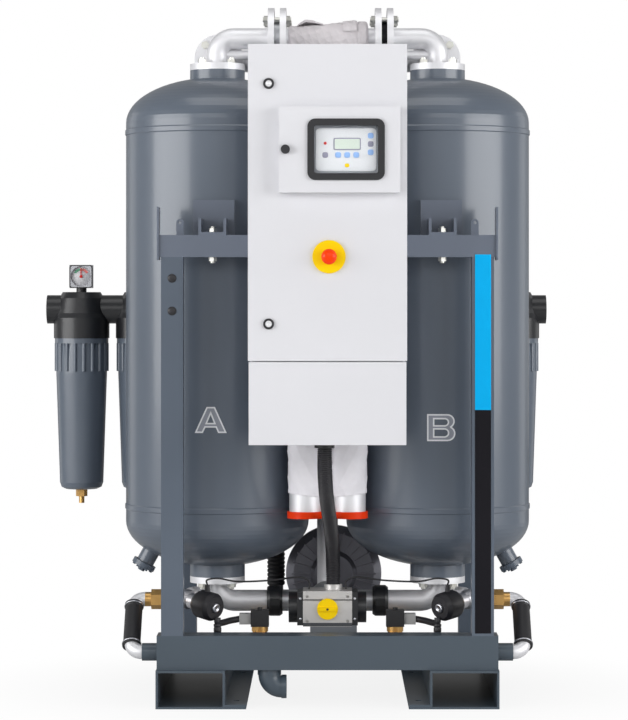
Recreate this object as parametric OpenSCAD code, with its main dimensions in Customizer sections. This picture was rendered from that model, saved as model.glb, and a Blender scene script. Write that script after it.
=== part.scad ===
// Twin-tower desiccant air dryer with heated regeneration, on a skid with fork pockets.
// Millimetres, +Z up, origin on the floor at the centre of the four anchor holes.
// The front is -Y and tower A stands at -X.

/* [Vessels] */
// Outer diameter of a tower
vessel_d = 520; // [480:5:540]
// Clear gap between the two towers
vessel_gap = 107; // [100:1:140]
// Wall of shell and heads
vessel_wall = 8; // [5:0.5:14]
// Lowest point of the lower head
vessel_bottom_z = 355; // [345:1:380]
// Height of the lower weld seam
seam_low_z = 527; // [515:1:560]
// Height of the upper weld seam
seam_high_z = 1587; // [1500:1:1600]
// Width of a weld seam
seam_w = 14; // [8:1:24]
// Height that a weld seam stands proud
seam_proud = 2.5; // [1:0.5:5]
// Outer diameter of the pads at both crowns
boss_d = 156; // [146:1:166]
// Height of a crown pad
boss_h = 30; // [24:1:40]
// Thickness of a bed screen
screen_t = 6; // [3:1:12]
// Height of the lower bed screen
screen_low_z = 560; // [545:5:620]
// Depth of the desiccant bed
bed_h = 940; // [600:10:980]

/* [Skid] */
// Width of a fork tube
fork_w = 188; // [170:1:200]
// Height of a fork tube
fork_h = 104; // [90:1:120]
// Wall of a fork tube
fork_wall = 6; // [4:1:10]
// Clear distance between the fork tubes
fork_gap = 558; // [540:2:570]
// Front end of the fork tubes
fork_front_y = -385; // [-400:1:-375]
// Rear end of the fork tubes
fork_rear_y = 485; // [475:1:520]
// Width of a foot flange
foot_w = 58; // [50:1:70]
// Thickness of a foot flange
foot_t = 12; // [8:1:20]
// Diameter of an anchor hole
anchor_d = 18; // [12:1:22]
// Anchor hole distance across the skid
anchor_span_x = 500; // [488:1:512]
// Anchor hole distance along the skid
anchor_span_y = 600; // [500:5:640]
// Side of the square posts and top beams
post_w = 60; // [50:1:70]
// Wall of posts and beams
post_wall = 5; // [3:0.5:8]
// Distance between the post axes
post_span = 846; // [830:1:860]
// Front face of the front posts
front_y = -368; // [-372:1:-360]
// Front face of the rear posts
rear_y = 410; // [400:1:415]
// Underside of the top beams
top_beam_z = 1228; // [1180:1:1240]
// Length of the front top beam
top_beam_l = 918; // [910:1:930]
// Thickness of the end plates on the front top beam
end_plate_t = 5; // [3:1:8]
// Length of the manifold beam
manifold_l = 930; // [920:1:940]
// Height of the manifold beam
manifold_h = 93; // [80:1:100]
// Depth of the manifold beam
manifold_deep = 90; // [80:1:92]
// Wall of the manifold beam
manifold_wall = 5; // [3:0.5:8]

/* [Piping] */
// Outer diameter of the main pipes
pipe_d = 60.3; // [50:0.1:64]
// Wall of the main pipes
pipe_wall = 3.6; // [2:0.2:6]
// Bend radius above the towers
top_bend_r = 46; // [42:1:60]
// Bend radius below the towers
low_bend_r = 51; // [46:1:55]
// Outer diameter of the flanges on the top pipe
flange_d = 175; // [165:1:185]
// Thickness of a flange
flange_t = 18; // [12:1:22]
// Bolt circle of the flanges on the top pipe
flange_bc = 140; // [134:1:146]
// Bolt circle of the flanges on the crown pads
pad_bc = 118; // [112:1:124]
// Diameter of the flange studs
stud_d = 14; // [10:1:16]
// Thickness of a wafer check valve
wafer_t = 16; // [12:1:24]
// Distance between the inner faces of the top flanges
manifold_face = 252; // [240:1:260]
// Distance of the manifold's middle from the middle plane
manifold_shift = 9; // [0:1:12]
// Outer diameter of the wrapped insulation
wrap_d = 100; // [84:1:112]
// Outer diameter of the branch and outlet pipes
branch_d = 48.3; // [42:0.1:52]
// Outer diameter of the small lines
small_d = 26.9; // [20:0.1:30]

/* [Heaters] */
// Outer diameter of a heater column
heater_d = 90; // [80:1:96]
// Distance between the heater axes
heater_span = 122; // [120:1:130]
// Depth position of the heater axes
heater_y = -217; // [-224:1:-215]
// Lower end of the heater columns
heater_low_z = 526; // [500:1:560]
// Upper end of the heater columns
heater_high_z = 1700; // [1690:1:1720]
// Outer diameter of a jacket
jacket_d = 112; // [104:1:114]
// Lower hem of the jackets
jacket_low_z = 573; // [560:1:640]
// Upper hem of the jackets
jacket_high_z = 1180; // [1000:5:1190]
// Height of a heater end seal
seal_h = 19; // [12:1:30]

/* [Blower] */
// Outer diameter of the blower housing
blower_d = 278; // [260:2:290]
// Height of the blower axis
blower_z = 317; // [305:1:325]
// Distance of the blower axis from the middle plane
blower_x = 18; // [0:1:25]
// Front face of the blower
blower_front_y = 148; // [147:1:150]
// Depth of the blower housing
blower_deep = 74; // [70:1:76]
// Diameter of the blower motor
motor_d = 180; // [150:2:190]
// Length of the blower motor
motor_l = 240; // [220:2:250]

/* [Valves] */
// Straight length above the bends below the towers
spool_drop = 2; // [1:1:6]
// Diameter of the changeover valve body
valve_d = 110; // [100:1:114]
// Width of the valve actuator
actuator_w = 136; // [120:1:150]
// Height of the valve actuator
actuator_h = 98; // [90:1:104]
// Depth of the valve actuator
actuator_deep = 110; // [95:1:120]
// Front face of the valve actuator
actuator_front_y = -230; // [-240:1:-225]
// Length of an actuator end cap
end_cap_l = 40; // [30:1:44]
// Diameter of the position indicator
indicator_d = 58; // [40:1:64]
// Rise of the exhaust lines above the lower main pipe
exhaust_rise = 23; // [21:1:26]
// Depth position of the exhaust valves
exhaust_y = -190; // [-195:1:-185]
// Distance of an exhaust valve from the centre plane
exhaust_x = 390; // [380:1:395]
// Outer diameter of an angle valve actuator
angle_d = 78; // [60:1:80]

/* [Filters] */
// Diameter of a filter collar
filter_d = 164; // [150:1:170]
// Lower diameter of a filter bowl
bowl_low_d = 128; // [100:1:140]
// Lower end of the filter bowls
bowl_low_z = 555; // [540:1:600]
// Underside of the filter heads
head_low_z = 1000; // [980:1:1020]
// Height of a filter head
head_h = 136; // [130:1:145]
// Depth position of the filters
filter_y = 305; // [303:1:312]
// Distance of the outer filter from the centre plane
filter_outer_x = 727; // [722:1:740]
// Distance of the inner filters from the centre plane
filter_inner_x = 544; // [540:1:548]
// Side of the square pressure gauge
gauge_w = 68; // [50:1:80]

/* [Cabinet] */
// Width of the cabinet door
cabinet_w = 422; // [400:2:430]
// Underside of the cabinet
cabinet_low_z = 946; // [900:1:960]
// Top of the cabinet
cabinet_top_z = 1789; // [1760:1:1820]
// Depth of the cabinet with its door
cabinet_deep = 200; // [180:1:220]
// Depth of the folded door
door_t = 22; // [18:1:30]
// Sheet thickness of cabinet and door
sheet_t = 2; // [1.5:0.5:3]
// Lower edge of the cable cover
cover_low_z = 726; // [700:1:760]
// Width of the window door
window_w = 320; // [300:1:330]
// Height of the window door
window_h = 227; // [210:1:240]
// Depth of the window door
window_deep = 40; // [36:1:60]
// Offset of the window door from the centre plane
window_x = 32; // [20:1:36]
// Height of the window door's lower edge
window_low_z = 1394; // [1360:1:1410]
// Width of the window gasket
gasket_w = 204; // [180:1:210]
// Height of the window gasket
gasket_h = 162; // [140:1:166]
// Width of the gasket's rim
gasket_rim = 18; // [12:1:22]
// Outer diameter of a door lock
lock_d = 29; // [24:1:34]
// Diameter of the emergency stop disc
estop_d = 88; // [70:1:100]
// Diameter of the emergency stop button
button_d = 41; // [30:1:50]
// Travel of the emergency stop button
button_travel = 6; // [3:0.5:8]

/* [Fits] */
// Gap round pieces that sit in one another
fit = 0.3; // [0.2:0.05:0.6]
// Added diameter of a bolt hole
bolt_play = 2; // [1:0.5:3]

/* [Hidden] */
$fn = 64;
// Overrun of cutting solids
over = 1;
vessel_r = vessel_d / 2;
vessel_x = vessel_r + vessel_gap / 2;
head_deep = vessel_d / 4;
tangent_low_z = vessel_bottom_z + head_deep;
tangent_high_z = seam_high_z + 28;
crown_z = tangent_high_z + head_deep;
boss_low_z = vessel_bottom_z - boss_h + 2;
boss_high_z = crown_z + boss_h - 10;
nozzle_d = pipe_d - 2 * pipe_wall;
bed_r = vessel_r - vessel_wall - fit;
bed_low_z = screen_low_z + screen_t;
fork_in = fork_gap / 2;
fork_mid = fork_in + fork_w / 2;
fork_l = fork_rear_y - fork_front_y;
post_x = post_span / 2;
beam_low_z = fork_h + manifold_h;
beam_top_z = top_beam_z + post_w;
rear_back_y = rear_y + post_w;
front_back_y = front_y + post_w;
manifold_z = fork_h + manifold_h / 2 - 2;
manifold_y = front_y + manifold_deep / 2;
stub_d = branch_d;
stub_l = 42;
union_gap = 17;
union_d = 56;
union_l = 34;
rear_beam_w = 90;
ball_d = 80;
rail_pitch = 220;
rail_h = 35;
rail_t = 8;
gear_pitch = 46;
gear_w = 44;
gear_h = 85;
gear_t = 62;
neck_l = 27;
top_pipe_z = boss_high_z + flange_t + neck_l + top_bend_r;
face_in = manifold_face / 2;
purge_end_x = 200;
face_wafer = face_in + flange_t;
face_out = face_wafer + wafer_t;
flange_end = face_out + flange_t;
heater_x = heater_span / 2;
hot_z = 1650;
cold_z = 1258;
riser_x = -151;
riser_y = 250;
hose_low_z = 276;
hose_high_z = 700;
hose_d = 52;
blower_back_y = blower_front_y + blower_deep;
valve_z = boss_low_z - flange_t - spool_drop - low_bend_r;
valve_half = 150;
exhaust_z = valve_z + exhaust_rise;
coupling_w = 44;
coupling_d = 88;
coupling_wall = (coupling_d - pipe_d) / 2 - fit;
inlet_z = head_low_z + 85;
header_bend_r = 57;
inlet_y = valve_d / 2 + 3 + header_bend_r;
drop_x = 110;
outlet_z = top_pipe_z - 48;
outlet_y = 205;
purge_z = top_pipe_z - top_bend_r;
side_flange_y = outlet_y - 110;
end_x = filter_inner_x - 90;
cabinet_front_y = front_y - cabinet_deep;
door_x = cabinet_w / 2;
shell_x = door_x - 10;
shell_front_y = cabinet_front_y + door_t;
hinge_x = door_x - 4;
hinge_y = shell_front_y;
hinge_pin_d = 5;
knuckle_d = 9;
knuckle_h = 30;
hinge_levels = [cabinet_low_z + 90, (cabinet_low_z + cabinet_top_z) / 2, cabinet_top_z - 90];
lock_x = -156;
lock_levels = [cabinet_low_z + 101, cabinet_top_z - 105];
window_front_y = cabinet_front_y - window_deep;
window_left = window_x - window_w / 2;
window_right = window_x + window_w / 2;
window_mid_z = window_low_z + window_h / 2;
gasket_x = window_x + 17;
gasket_t = 10;
controller_w = 176;
controller_h = 130;
estop_x = 4;
estop_z = 1225;
gauge_x = -filter_outer_x;
gauge_z = head_low_z + head_h + gauge_w / 2 + 12;
gauge_front_y = filter_y - 30;
steel_paint = "#6b7480";
silver = "#c2c4c9";
black = "#26262a";
cabinet_grey = "#e4e5e7";
brass = "#c59a55";

// Shapes that repeat

// The child and its mirror image across the centre plane
module both_sides() {
    children();
    mirror([1, 0, 0]) children();
}

// Solid cylinder from the origin along +X
module rod_x(d, l) rotate([0, 90, 0]) cylinder(d = d, h = l);

// Solid cylinder from the origin along +Y
module rod_y(d, l) rotate([-90, 0, 0]) cylinder(d = d, h = l);

// Tube from the origin along +Z
module tube(d, wall, l) {
    linear_extrude(l) difference() {
        circle(d = d);
        circle(d = d - 2 * wall);
    }
}

module tube_x(d, wall, l) rotate([0, 90, 0]) tube(d, wall, l);

module tube_y(d, wall, l) rotate([-90, 0, 0]) tube(d, wall, l);

// Quarter bend round the origin, from [r, 0, 0] heading +Y to [0, r, 0] heading -X
module bend(d, wall, r) {
    rotate_extrude(angle = 90) translate([r, 0]) difference() {
        circle(d = d);
        circle(d = d - 2 * wall);
    }
}

// Box tube along +Z, its outer section centred on the origin
module box_tube(w, deep, wall, l) {
    linear_extrude(l) difference() {
        square([w, deep], center = true);
        square([w - 2 * wall, deep - 2 * wall], center = true);
    }
}

// Flange from the origin along +Z with four bolt holes off the axes
module flange(d, bore, bc, t) {
    difference() {
        cylinder(d = d, h = t);
        translate([0, 0, -over]) cylinder(d = bore, h = t + 2 * over);
        bolt_holes(bc, t);
    }
}

module bolt_holes(bc, t) {
    for (a = [45 : 90 : 315]) rotate(a) translate([bc / 2, 0, -over]) {
        cylinder(d = stud_d + bolt_play, h = t + 2 * over, $fn = 24);
    }
}

// Four studs through a grip that starts at the origin, with a nut at each end
module stud_set(bc, grip) {
    nut_h = stud_d * 0.8;
    for (a = [45 : 90 : 315]) rotate(a) translate([bc / 2, 0, 0]) {
        translate([0, 0, -nut_h - 3]) cylinder(d = stud_d, h = grip + 2 * nut_h + 6, $fn = 24);
        for (z = [-nut_h, grip]) translate([0, 0, z]) cylinder(d = stud_d * 1.7, h = nut_h, $fn = 6);
    }
}

// Skid

module fork_tubes() {
    color(steel_paint) both_sides() difference() {
        union() {
            translate([fork_mid, fork_rear_y, fork_h / 2]) rotate([90, 0, 0]) {
                box_tube(fork_w, fork_h, fork_wall, fork_l);
            }
            translate([fork_in - foot_w, fork_front_y, 0]) cube([foot_w, fork_l, foot_t]);
        }
        for (y = [-1, 1]) translate([anchor_span_x / 2, y * anchor_span_y / 2, -over]) {
            cylinder(d = anchor_d, h = foot_t + 2 * over);
        }
    }
}

drain_x = -159;
drain_bend_r = 33;
drain_drop = 17;

module manifold_beam() {
    color(steel_paint) drain_elbow();
    color(steel_paint) difference() {
        union() {
            translate([-manifold_l / 2, front_y, fork_h]) cube([manifold_l, manifold_deep, manifold_h]);
            both_sides() translate([manifold_l / 2, manifold_y, manifold_z]) rod_x(stub_d, stub_l);
        }
        translate([-manifold_l / 2 + manifold_wall, front_y + manifold_wall, fork_h + manifold_wall]) {
            cube([manifold_l - 2 * manifold_wall, manifold_deep - 2 * manifold_wall,
                manifold_h - 2 * manifold_wall]);
        }
        both_sides() translate([manifold_l / 2 - 2 * manifold_wall, manifold_y, manifold_z]) {
            rod_x(stub_d - 2 * pipe_wall, stub_l + 3 * manifold_wall);
        }
        translate([drain_x, manifold_y, fork_h - over]) cylinder(d = nozzle_d, h = manifold_wall + 2 * over);
    }
}

module drain_elbow() {
    translate([drain_x, manifold_y, fork_h - drain_drop]) tube(pipe_d + 4, pipe_wall + 2, drain_drop);
    translate([drain_x + drain_bend_r, manifold_y, fork_h - drain_drop]) {
        rotate([90, 0, 0]) mirror([0, 1, 0]) mirror([1, 0, 0]) bend(pipe_d, pipe_wall, drain_bend_r);
        translate([0, 0, -drain_bend_r]) tube_x(pipe_d + 4, pipe_wall + 2, 14);
    }
}

module rear_cross_beam() {
    color(steel_paint) translate([-fork_in, fork_rear_y - rear_beam_w / 2, (fork_h + foot_t) / 2])
        rotate([90, 0, 90]) box_tube(rear_beam_w, fork_h - foot_t, post_wall, fork_gap);
}

module front_post() {
    translate([post_x, front_y + post_w / 2, beam_low_z]) {
        box_tube(post_w, post_w, post_wall, top_beam_z - beam_low_z);
    }
}

module posts() {
    color(steel_paint) both_sides() {
        front_post();
        rear_post();
    }
}

module rear_post() {
    translate([post_x, rear_y + post_w / 2, fork_h]) {
        box_tube(post_w, post_w, post_wall, top_beam_z - fork_h);
    }
}

module top_beam(y) {
    translate([-top_beam_l / 2, y + post_w / 2, top_beam_z + post_w / 2]) rotate([90, 0, 90]) {
        box_tube(post_w, post_w, post_wall, top_beam_l);
    }
}

tab_w = 20;
tab_h = 44;
tab_t = 12;

module front_top_beam() {
    union() {
        difference() {
            top_beam(front_y);
            both_sides() translate([vessel_x, front_y + post_w / 2, top_beam_z - over]) {
                cylinder(d = stud_d + bolt_play, h = post_w + 2 * over, $fn = 24);
            }
        }
        both_sides() translate([top_beam_l / 2, front_y - 6, top_beam_z - 8]) {
            cube([end_plate_t, post_w + 12, 144]);
        }
        both_sides() translate([post_x - 21, front_y + 12, beam_top_z]) rotate([90, 0, 0]) {
            translate([0, 0, -tab_t]) linear_extrude(tab_t) difference() {
                union() {
                    translate([-tab_w / 2, 0]) square([tab_w, tab_h - tab_w / 2]);
                    translate([0, tab_h - tab_w / 2]) circle(d = tab_w);
                }
                translate([0, tab_h - tab_w / 2]) circle(d = 9);
            }
        }
    }
}

module rear_top_beam() {
    difference() {
        top_beam(rear_y);
        both_sides() translate([vessel_x, rear_y + post_w / 2, top_beam_z - over]) {
            cylinder(d = stud_d + bolt_play, h = post_w + 2 * over, $fn = 24);
        }
    }
}

module top_beams() {
    color(steel_paint) {
        front_top_beam();
        rear_top_beam();
    }
}

// Vessels

// Half outline of an elliptical head, from radius r_in out to the tangent line
function head_arc(r, deep, r_in) = [
    for (i = [0 : 14]) let (t = acos(r_in / r) * (1 - i / 14)) [r * cos(t), deep * sin(t)]
];

function low_head(r, deep, r_in) = [for (p = head_arc(r, deep, r_in)) [p[0], tangent_low_z - p[1]]];

function high_head(r, deep, r_in) = [
    for (i = [14 : -1 : 0]) let (p = head_arc(r, deep, r_in)[i]) [p[0], tangent_high_z + p[1]]
];

function seam(z) = [
    [vessel_r, z - seam_w / 2 - 2],
    [vessel_r + seam_proud, z - seam_w / 2 + 1],
    [vessel_r + seam_proud, z + seam_w / 2 - 1],
    [vessel_r, z + seam_w / 2 + 2]
];

port_d = 50;
port_cap_d = 68;
port_cap_t = 14;
port_axis = [vessel_r - 79, 0, tangent_low_z - 74];
port_turn = 151;
port_l = 52;
bracket_z = beam_top_z;
bracket_h = 99;

// Outline of one tower wall, outer side upwards and inner side back down
function vessel_wall_line() = concat(
    [[nozzle_d / 2, boss_low_z], [boss_d / 2, boss_low_z]],
    low_head(vessel_r, head_deep, boss_d / 2),
    seam(seam_low_z),
    seam(seam_high_z),
    high_head(vessel_r, head_deep, boss_d / 2),
    [[boss_d / 2, boss_high_z], [nozzle_d / 2, boss_high_z]],
    backwards(high_head(vessel_r - vessel_wall, head_deep - vessel_wall, nozzle_d / 2)),
    backwards(low_head(vessel_r - vessel_wall, head_deep - vessel_wall, nozzle_d / 2))
);

function backwards(line) = [for (i = [len(line) - 1 : -1 : 0]) line[i]];

// One tower round the Z axis, its drain nozzle towards +X
module vessel() {
    difference() {
        union() {
            rotate_extrude($fn = 96) polygon(vessel_wall_line());
            difference() {
                translate(port_axis) rotate([0, port_turn, 0]) cylinder(d = port_d, h = port_l);
                rotate_extrude($fn = 96) polygon(concat(
                    [[0, vessel_bottom_z + 4]],
                    low_head(vessel_r - vessel_wall / 2, head_deep - vessel_wall / 2, 0),
                    [[0, tangent_low_z]]
                ));
            }
        }
        translate(port_axis) rotate([0, port_turn, 0]) translate([0, 0, -30])
            cylinder(d = port_d - 12, h = port_l + 40);
        for (z = [boss_low_z, boss_high_z - 20]) translate([0, 0, z]) {
            for (a = [45 : 90 : 315]) rotate(a) translate([pad_bc / 2, 0, z == boss_low_z ? -over : 0]) {
                cylinder(d = stud_d + bolt_play, h = 20 + over, $fn = 24);
            }
        }
    }
}

module vessel_a() {
    color(steel_paint) translate([-vessel_x, 0, 0]) mirror([1, 0, 0]) vessel();
}

module vessel_b() {
    color(steel_paint) translate([vessel_x, 0, 0]) vessel();
}

module desiccant_beds() {
    color("#d9cdb4") both_sides() translate([vessel_x, 0, bed_low_z])
        cylinder(r = bed_r, h = bed_h, $fn = 96);
}

module bed_screens() {
    color(silver) both_sides() for (z = [screen_low_z, bed_low_z + bed_h]) translate([vessel_x, 0, z]) {
        difference() {
            cylinder(r = bed_r, h = screen_t, $fn = 96);
            for (ring = [1 : 3]) for (a = [0 : 60 / ring : 359]) rotate(a) {
                translate([ring * bed_r / 3.8, 0, -over]) cylinder(d = 24, h = screen_t + 2 * over, $fn = 16);
            }
        }
    }
}

module drain_port_covers() {
    color(silver) both_sides() translate([vessel_x, 0, 0]) translate(port_axis) rotate([0, port_turn, 0]) {
        translate([0, 0, port_l]) {
            cylinder(d = port_cap_d, h = port_cap_t);
            translate([0, 0, port_cap_t]) cylinder(d = 20, h = 12, $fn = 6);
            for (a = [0 : 60 : 300]) rotate(a) translate([26, 0, port_cap_t]) cylinder(d = 9, h = 5, $fn = 6);
        }
    }
}

// Saddle plate against the tower wall, a foot on the beam and an upright channel between them
module vessel_bracket(beam_face, reach) {
    plate_w = 114;
    foot_w = 76;
    foot_h = 46;
    difference() {
        union() {
            translate([-plate_w / 2, -vessel_r - 12, bracket_z]) cube([plate_w, 45, bracket_h]);
            translate([-foot_w / 2, -beam_face, bracket_z]) cube([foot_w, reach, 8]);
            for (x = [-foot_w / 2, foot_w / 2 - 8]) translate([x, -beam_face, bracket_z]) {
                cube([8, reach, foot_h]);
            }
        }
        translate([0, 0, bracket_z - over]) cylinder(r = vessel_r + fit, h = bracket_h + 2 * over, $fn = 96);
        translate([0, -beam_face + post_w / 2, bracket_z - over]) {
            cylinder(d = stud_d + bolt_play, h = 10 + 2 * over, $fn = 24);
        }
    }
}

module vessel_brackets() {
    color(steel_paint) both_sides() translate([vessel_x, 0, 0]) {
        vessel_bracket(-front_y, -front_y - vessel_r);
        mirror([0, 1, 0]) vessel_bracket(rear_back_y, rear_back_y - vessel_r);
    }
}

// Top piping

// Bend above tower A with its neck, pad flange and the flange that faces the check valve
module top_spool(end_x) {
    translate([-vessel_x, 0, boss_high_z]) flange(boss_d, nozzle_d, pad_bc, flange_t);
    translate([-vessel_x, 0, boss_high_z + flange_t]) tube(pipe_d, pipe_wall, neck_l);
    translate([-vessel_x + top_bend_r, 0, purge_z]) rotate([90, 0, 0]) mirror([1, 0, 0]) {
        bend(pipe_d, pipe_wall, top_bend_r);
    }
    translate([-vessel_x + top_bend_r, 0, top_pipe_z]) {
        tube_x(pipe_d, pipe_wall, vessel_x - top_bend_r - end_x);
    }
    translate([-end_x, 0, top_pipe_z]) rotate([0, 90, 0]) flange(flange_d, nozzle_d, flange_bc, flange_t);
    difference() {
        union() {
            translate([-vessel_x, 0, purge_z]) rod_x(small_d, vessel_x - purge_end_x);
            translate([-vessel_x, 0, outlet_z]) rod_y(branch_d, side_flange_y);
        }
        neck_core(nozzle_d + pipe_wall);
    }
    translate([-purge_end_x - 18, 0, purge_z]) rotate([0, 90, 0]) {
        cylinder(d = small_d * 1.4, h = 18, $fn = 6);
    }
    translate([-vessel_x, side_flange_y, outlet_z]) rotate([-90, 0, 0]) {
        flange(boss_d - 16, branch_d - 2 * pipe_wall, pad_bc - 8, flange_t);
    }
}

// Solid that fills the neck and the bend above tower A
module neck_core(d) {
    translate([-vessel_x, 0, boss_high_z + flange_t]) cylinder(d = d, h = neck_l);
    translate([-vessel_x + top_bend_r, 0, purge_z]) rotate([90, 0, 0]) mirror([1, 0, 0]) {
        rotate_extrude(angle = 90) translate([top_bend_r, 0]) circle(d = d);
    }
}

module top_spools() {
    color(silver) for (side = [0, 1]) mirror([side, 0, 0]) difference() {
        top_spool(flange_end + (2 * side - 1) * manifold_shift);
        translate([-vessel_x, 0, outlet_z]) rod_y(branch_d - 2 * pipe_wall, side_flange_y);
    }
}

module check_valves() {
    color("#4a4d52") translate([manifold_shift, 0, 0]) both_sides() translate([face_wafer, 0, top_pipe_z]) {
        tube_x(flange_bc - stud_d - bolt_play - 2, (flange_bc - stud_d - nozzle_d) / 2 - bolt_play, wafer_t);
    }
}

module hot_air_manifold() {
    color(silver) difference() {
        union() {
            translate([manifold_shift - face_in, 0, top_pipe_z]) rod_x(pipe_d, manifold_face);
            translate([manifold_shift, 0, 0]) both_sides() translate([face_in, 0, top_pipe_z])
                rotate([0, 90, 0]) {
                    flange(flange_d, nozzle_d, flange_bc, flange_t);
                }
            translate([0, 0, hot_z + low_bend_r]) cylinder(d = pipe_d, h = top_pipe_z - hot_z - low_bend_r);
        }
        translate([manifold_shift - face_in - over, 0, top_pipe_z]) rod_x(nozzle_d, manifold_face + 2 * over);
        translate([0, 0, hot_z]) cylinder(d = nozzle_d, h = top_pipe_z - hot_z);
    }
    color(silver) translate([0, -low_bend_r, hot_z + low_bend_r]) rotate([90, 0, 90]) mirror([0, 1, 0]) {
        bend(pipe_d, pipe_wall, low_bend_r);
    }
    color(silver) translate([0, hot_joint_y, hot_z]) tube_y(pipe_d, pipe_wall, -low_bend_r - hot_joint_y);
}

hot_joint_y = heater_y + heater_d / 2 + 20;

module manifold_wrap() {
    color("#b9a9a6") difference() {
        translate([manifold_shift - face_in + 6, 0, top_pipe_z]) rod_x(wrap_d, manifold_face - 12);
        translate([manifold_shift - face_in, 0, top_pipe_z]) rod_x(pipe_d + 2 * fit, manifold_face);
        translate([0, 0, top_pipe_z - wrap_d]) cylinder(d = pipe_d + 2 * fit, h = wrap_d);
    }
}

// Header behind the tower tops, its drop pipe and the run to the outlet filter
module outlet_header() {
    joint_y = side_flange_y + flange_t;
    header_half = vessel_x - header_bend_r;
    color(silver) {
        both_sides() translate([-vessel_x, joint_y, outlet_z]) rotate([-90, 0, 0]) {
            flange(boss_d - 16, branch_d - 2 * pipe_wall, pad_bc - 8, flange_t);
        }
        both_sides() translate([-vessel_x, joint_y + flange_t, outlet_z]) {
            tube_y(branch_d, pipe_wall, outlet_y - header_bend_r - joint_y - flange_t);
        }
        both_sides() translate([-vessel_x + header_bend_r, outlet_y - header_bend_r, outlet_z]) {
            mirror([1, 0, 0]) bend(branch_d, pipe_wall, header_bend_r);
        }
        difference() {
            union() {
                translate([-header_half, outlet_y, outlet_z]) rod_x(pipe_d, 2 * header_half);
                translate([drop_x, outlet_y, outlet_z]) rod_y(branch_d, filter_y - header_bend_r - outlet_y);
            }
            translate([-header_half + 2 * pipe_wall, outlet_y, outlet_z]) {
                rod_x(nozzle_d, 2 * (header_half - 2 * pipe_wall));
            }
            translate([-header_half - over, outlet_y, outlet_z]) {
                rod_x(branch_d - 2 * pipe_wall, 2 * (header_half + over));
            }
            translate([drop_x, outlet_y, outlet_z]) rod_y(branch_d - 2 * pipe_wall, filter_y);
        }
        translate([drop_x, filter_y - header_bend_r, outlet_z - header_bend_r]) rotate([90, 0, 90]) {
            bend(branch_d, pipe_wall, header_bend_r);
        }
        translate([drop_x, filter_y, inlet_z + header_bend_r]) {
            tube(branch_d, pipe_wall, outlet_z - inlet_z - 2 * header_bend_r);
        }
        translate([drop_x + header_bend_r, filter_y, inlet_z + header_bend_r]) rotate([-90, 0, 0]) {
            mirror([1, 0, 0]) bend(branch_d, pipe_wall, header_bend_r);
        }
        translate([drop_x + header_bend_r, filter_y, inlet_z]) {
            tube_x(branch_d, pipe_wall, end_x - drop_x - header_bend_r);
        }
        translate([post_x - 20, filter_y + branch_d / 2 - 3, inlet_z - 20]) {
            cube([40, rear_y - filter_y - branch_d / 2 + 3, 40]);
        }
    }
}

module flange_bolts() {
    color("#8d9096") {
        translate([manifold_shift, 0, 0]) both_sides() translate([face_in, 0, top_pipe_z])
            rotate([0, 90, 0]) {
                stud_set(flange_bc, 2 * flange_t + wafer_t);
            }
        both_sides() translate([-vessel_x, side_flange_y, outlet_z]) rotate([-90, 0, 0]) {
            stud_set(pad_bc - 8, 2 * flange_t);
        }
        both_sides() translate([vessel_x, 0, boss_high_z + flange_t]) pad_studs();
        both_sides() translate([vessel_x, 0, boss_low_z - flange_t]) mirror([0, 0, 1]) pad_studs();
        both_sides() for (y = [front_y, rear_y]) {
            translate([vessel_x, y + post_w / 2, top_beam_z]) rotate(-45) beam_stud(post_w + 8);
        }
    }
}

// Studs in a crown pad, with nuts on the flange face at the origin
module pad_studs() {
    for (a = [45 : 90 : 315]) rotate(a) translate([pad_bc / 2, 0, 0]) {
        translate([0, 0, -flange_t - 16]) cylinder(d = stud_d, h = flange_t + 32, $fn = 24);
        cylinder(d = stud_d * 1.7, h = stud_d * 0.8, $fn = 6);
    }
}

// Bolt through a beam and the bracket foot on it
module beam_stud(grip) {
    translate([0, 0, -16]) cylinder(d = stud_d, h = grip + 32, $fn = 24);
    for (z = [-11, grip]) translate([0, 0, z]) cylinder(d = stud_d * 1.7, h = 11, $fn = 6);
}

// Heaters

// Two columns joined by a cold and a hot crosspiece, with a lug on the front top beam
module heater_columns() {
    column_h = heater_high_z - heater_low_z;
    color(silver) difference() {
        union() {
            both_sides() translate([heater_x, heater_y, heater_low_z]) cylinder(d = heater_d, h = column_h);
            for (z = [cold_z, hot_z]) {
                translate([-heater_x, heater_y, z]) rod_x(pipe_d, heater_span);
                translate([0, heater_y, z]) rod_y(pipe_d, hot_joint_y - heater_y);
            }
            translate([-heater_x, front_back_y, top_beam_z + 10]) {
                cube([heater_span, heater_y - front_back_y, post_w - 20]);
            }
        }
        both_sides() translate([heater_x, heater_y, heater_low_z - over]) {
            cylinder(d = heater_d - 2 * pipe_wall, h = column_h - 4);
        }
        for (z = [cold_z, hot_z]) {
            translate([-heater_x, heater_y, z]) rod_x(nozzle_d, heater_span);
            translate([0, heater_y, z]) rod_y(nozzle_d, heater_d);
        }
    }
}

module heater_jackets() {
    color("#eceae6") both_sides() translate([heater_x, heater_y, jacket_low_z]) {
        tube(jacket_d, (jacket_d - heater_d) / 2 - fit, jacket_high_z - jacket_low_z);
    }
}

module heater_end_seals() {
    color("#d8381c") both_sides() translate([heater_x, heater_y, heater_low_z - seal_h]) {
        cylinder(d = heater_d + 12, h = seal_h);
    }
}

module heater_elements() {
    element_d = heater_d / 9;
    element_l = jacket_high_z - heater_low_z - 14;
    color("#5a5552") both_sides() translate([heater_x, heater_y, heater_low_z]) {
        for (a = [0 : 60 : 300]) rotate(a) translate([heater_d / 4, 0, 0])
            cylinder(d = element_d, h = element_l, $fn = 16);
        for (z = [120 : 130 : 510]) translate([0, 0, z]) cylinder(d = heater_d - 2 * pipe_wall - 1, h = 3);
    }
}

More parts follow.
